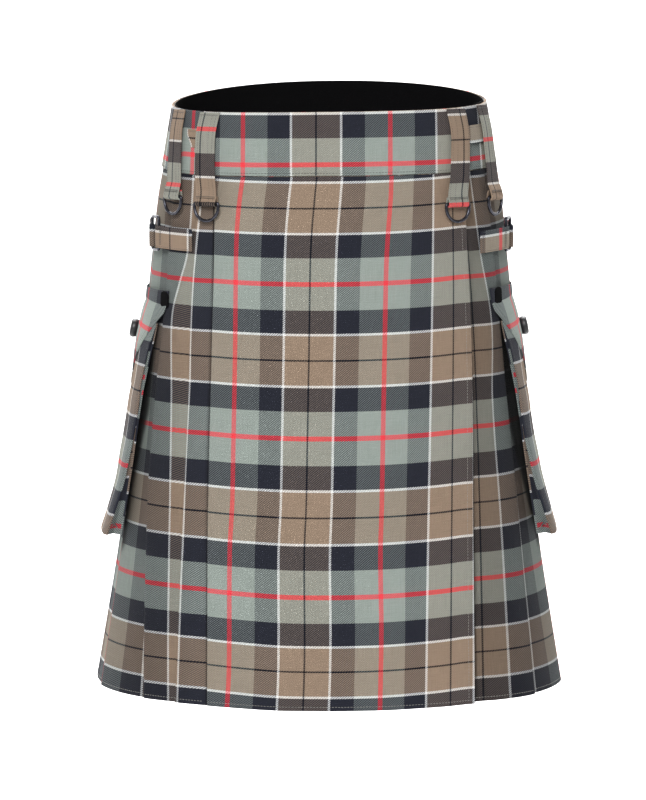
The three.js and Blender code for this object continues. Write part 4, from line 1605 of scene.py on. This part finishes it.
def buildFlap(side, way):
    flap = pockets["flap"]
    deep = panelLevels(0, flap["tipDrop"], 2.6)
    shares = [distance / flap["tipDrop"] for distance in deep]
    wide = acrossStops(flap["halfWidth"], 54)
    points, coords, halves = [], [], []
    for share in shares:
        line, places, sizes = [], [], []
        for across in wide:
            away = math.sqrt((across / flap["halfWidth"]) ** 2 + 0.0012) / math.sqrt(1.0012)
            drop = mix(flap["tipDrop"], flap["cornerDrop"], away ** flap["roundness"])
            down = flap["top"] + drop * share
            edge = min((1 - share) * drop * 0.78, flap["halfWidth"] - abs(across))
            curl = 0.5 * noise.noise(Vector((across / 30, down / 30, 9.0 * way))) * easedStep(share, 0.3, 1)
            crease = -0.7 * bump(drop * share, flap["foldLine"], 3.0)
            line.append(pocketPlace(way, down, across, flapOut(down) + curl + crease))
            level = down - flap["red"] - flap["slant"] * abs(across)
            places.append((flap["edgePlace"] + across + flap["halfWidth"], level))
            pressed = 0.15 * sum(bump(edge, place, 1.4) for place in flap["stitches"])
            fuller = 0.2 * bump(edge, 1.6, 2.4)
            rim = min(edge, drop * share)
            sizes.append((pockets["half"] + fuller) * rimShare(rim) - pressed)
        order = 1 if way > 0 else -1
        points.append(line[::order])
        coords.append(places[::order])
        halves.append(sizes[::order])
    cloth = makeCloth(f"pocket_flap_{side}_cloth", points, coords, halves, clothMaterial)
    finishCloth(cloth, f"pocket_flap_{side}")

    def stitchAt(column, away):
        across = abs(wide[column]) / flap["halfWidth"]
        drop = mix(flap["tipDrop"], flap["cornerDrop"], across ** flap["roundness"])
        row = float(np.interp(1 - away / (drop * 0.78), shares, range(len(shares))))
        low = min(int(row), len(shares) - 2)
        place = mix(cloth["outer"][low, column], cloth["outer"][low + 1, column], row - low)
        return (place, cloth["normals"][low, column])

    lines = [[stitchAt(column, away) for column in range(4, len(wide) - 4)] for away in flap["stitches"]]
    sewRuns(f"pocket_flap_{side}_stitches", lines, darkThread, 2.1, 0.9, 0.18)
    row = nearest(deep, flap["tipDrop"] * flap["rootStitch"])
    root = runOver(cloth, [(row, column) for column in range(3, len(wide) - 3)])
    sewRuns(f"pocket_flap_{side}_root_stitches", [root], darkThread, 2.1, 0.9, 0.18)


# The button is a disc that is domed, rimmed and dished by insets, and bevelled
def modelButton():
    button = pockets["button"]
    radius, height = button["radius"] * mm, button["height"] * mm
    deselectAll()
    bpy.ops.mesh.primitive_cylinder_add(vertices=48, radius=radius * 0.88, depth=height * 0.35,
                                        location=(0, 0, height * 0.175))
    piece = bpy.context.object
    piece.name = "buttonModel"
    bpy.ops.object.transform_apply(location=True, rotation=True, scale=True)
    bpy.ops.object.mode_set(mode="EDIT")
    bpy.ops.mesh.select_all(action="DESELECT")
    bpy.ops.object.mode_set(mode="OBJECT")
    top = max(piece.data.polygons, key=lambda face: face.center.z)
    top.select = True
    bpy.ops.object.mode_set(mode="EDIT")
    bpy.ops.transform.resize(value=(1.13, 1.13, 1))
    for lift, scale in ((0.25, 1.0), (0.2, 0.94), (0.12, 0.8), (-0.1, 0.72), (0.06, 0.5), (0.08, 0.2)):
        bpy.ops.mesh.extrude_region_move(TRANSFORM_OT_translate={"value": (0, 0, lift * height)})
        if scale != 1.0:
            bpy.ops.transform.resize(value=(scale, scale, 1))
    bpy.ops.object.mode_set(mode="OBJECT")
    bevel = piece.modifiers.new("edges", "BEVEL")
    bevel.width = 0.00035
    bevel.segments = 2
    bevel.limit_method = "ANGLE"
    bevel.angle_limit = math.radians(24)
    bpy.ops.object.modifier_apply(modifier=bevel.name)
    bpy.ops.object.shade_smooth_by_angle(angle=math.radians(40))
    piece.data.materials.clear()
    piece.data.materials.append(plasticMaterial)
    return piece


def buildButton(model, side, way):
    button = pockets["button"]
    down = pockets["flap"]["top"] + pockets["flap"]["tipDrop"] - button["aboveTip"]
    face = flapOut(down) + pockets["half"] + button["standOff"]
    above = pocketPlace(way, down - button["radius"], 0, flapOut(down - button["radius"]))
    below = pocketPlace(way, down + button["radius"], 0, flapOut(down + button["radius"]))
    outward = (below - above).cross(Vector((0, way, 0))).normalized()
    matrix = Matrix.Translation(pocketPlace(way, down, 0, face) * mm)
    matrix = matrix @ Vector((0, 0, 1)).rotation_difference(outward).to_matrix().to_4x4()
    piece = bpy.data.objects.new(f"pocket_button_{side}_disc", model.data.copy())
    piece.data.transform(matrix)
    bpy.context.scene.collection.objects.link(piece)
    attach(piece, "kilt")
    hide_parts(f"pocket_button_{side}")


# The small black ends of tape that show at the front corners of the flaps
cornerTabs = {
    "left": {"arcs": (-199, -184.6), "levels": (188, 206)},
    "right": {"arcs": (193, 208), "levels": (187, 205.5)},
    "out": 0.9,
    "half": 0.7,
}


def buildCornerTab(side):
    values = cornerTabs[side]
    levels = panelLevels(*values["levels"], 1.6)
    arcs = panelLevels(*values["arcs"], 1.6)
    middle = sum(values["arcs"]) / 2
    points, coords, halves = [], [], []
    for down in levels:
        fromEnd = min(down - levels[0], levels[-1] - down)
        narrow = math.sqrt(min(max(fromEnd, 0.02) / 4.5, 1) * (2 - min(fromEnd / 4.5, 1)))
        line = []
        sizes = []
        for arc in arcs:
            line.append(placeOnForm(down, middle + (arc - middle) * narrow, cornerTabs["out"])[0])
            rim = min(arc - arcs[0], arcs[-1] - arc, fromEnd)
            sizes.append(cornerTabs["half"] * rimShare(rim))
        points.append(line)
        coords.append([(arc, down) for arc in arcs])
        halves.append(sizes)
    cloth = makeCloth(f"corner_tab_{side}", points, coords, halves, liningMaterial)
    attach(cloth["object"], "kilt")


def buildPockets():
    model = modelButton()
    for side, way in (("left", -1), ("right", 1)):
        buildPocketPanel(side, way, "back", lambda down, across, way: 0.0, pockets["backRed"])
        buildPocketPanel(side, way, "front", frontOut, pockets["frontRed"])
        buildGusset(side, way)
        buildFlap(side, way)
        buildButton(model, side, way)
        buildCornerTab(side)
    bpy.data.objects.remove(model)


buildPockets()
print("pockets made")


# Camera, light and floor
camera = {
    "across": -6.5,
    "distance": 4166,
    "height": 146,
    "pitchDown": 6.242,
    "focalPixels": 3938.4,
    "framePixels": 800,
}


def buildCamera():
    data = bpy.data.cameras.new("camera")
    data.sensor_width = 36
    data.lens = camera["focalPixels"] * 36 / camera["framePixels"]
    data.clip_end = 100
    viewer = bpy.data.objects.new("camera", data)
    viewer.location = (camera["across"] * mm, -camera["distance"] * mm, camera["height"] * mm)
    viewer.rotation_euler = (math.radians(90 - camera["pitchDown"]), 0, 0)
    bpy.context.scene.collection.objects.link(viewer)
    bpy.context.scene.camera = viewer


studio = {
    "world": 0.44,
    "floor": -1.5,
    "wall": 4.2,
    "lights": [  # name, place, aim, size, watts
        ("key", (-0.5, -3.5, 1.9), (0, 0, -0.2), 2.0, 170),
        ("leftRim", (-2.6, 1.5, 0.4), (0, 0, -0.3), 1.6, 22),
        ("rightRim", (2.8, 1.7, 0.4), (0, 0, -0.3), 1.4, 12),
        ("background", (0, 2.6, 3.0), (0, 3.4, -1.0), 4.0, 480),
    ],
}


def buildStudio():
    scene = bpy.context.scene
    world = bpy.data.worlds.new("studio")
    world.use_nodes = True
    world.node_tree.nodes["Background"].inputs["Color"].default_value = (1, 1, 1, 1)
    world.node_tree.nodes["Background"].inputs["Strength"].default_value = studio["world"]
    scene.world = world
    scene.view_settings.view_transform = "Standard"
    for name, place, aim, size, watts in studio["lights"]:
        data = bpy.data.lights.new(name, "AREA")
        data.shape = "DISK"
        data.size = size
        data.energy = watts
        lamp = bpy.data.objects.new(name, data)
        lamp.location = place
        lamp.rotation_euler = (Vector(aim) - Vector(place)).to_track_quat("-Z", "Y").to_euler()
        scene.collection.objects.link(lamp)
    # The floor is one sheet that sweeps up into a wall far behind
    bend = 1.2
    profile = [(-9.0, studio["floor"])]
    for index in range(13):
        angle = math.radians(90 * index / 12)
        profile.append((studio["wall"] + bend * math.sin(angle) - bend,
                        studio["floor"] + bend - bend * math.cos(angle)))
    profile.append((studio["wall"], 6.0))
    vertices = [(x, y, z) for y, z in profile for x in (-9.0, 9.0)]
    faces = [(2 * i, 2 * i + 1, 2 * i + 3, 2 * i + 2) for i in range(len(profile) - 1)]
    mesh = bpy.data.meshes.new("floor")
    mesh.from_pydata(vertices, [], faces)
    mesh.shade_smooth()
    finish = Finish("paleFloor")
    place = finish.add("ShaderNodeTexCoord", output=3)
    tone = finish.noise(place, 0.8, 2.0)
    shade = finish.mixColours(tone, (0.93, 0.93, 0.93, 1), (0.96, 0.96, 0.96, 1))
    finish.setShader(Base_Color=shade, Roughness=0.9)
    mesh.materials.append(finish.material)
    floor = bpy.data.objects.new("floor", mesh)
    scene.collection.objects.link(floor)


buildCamera()
buildStudio()
print("camera, light and floor set")
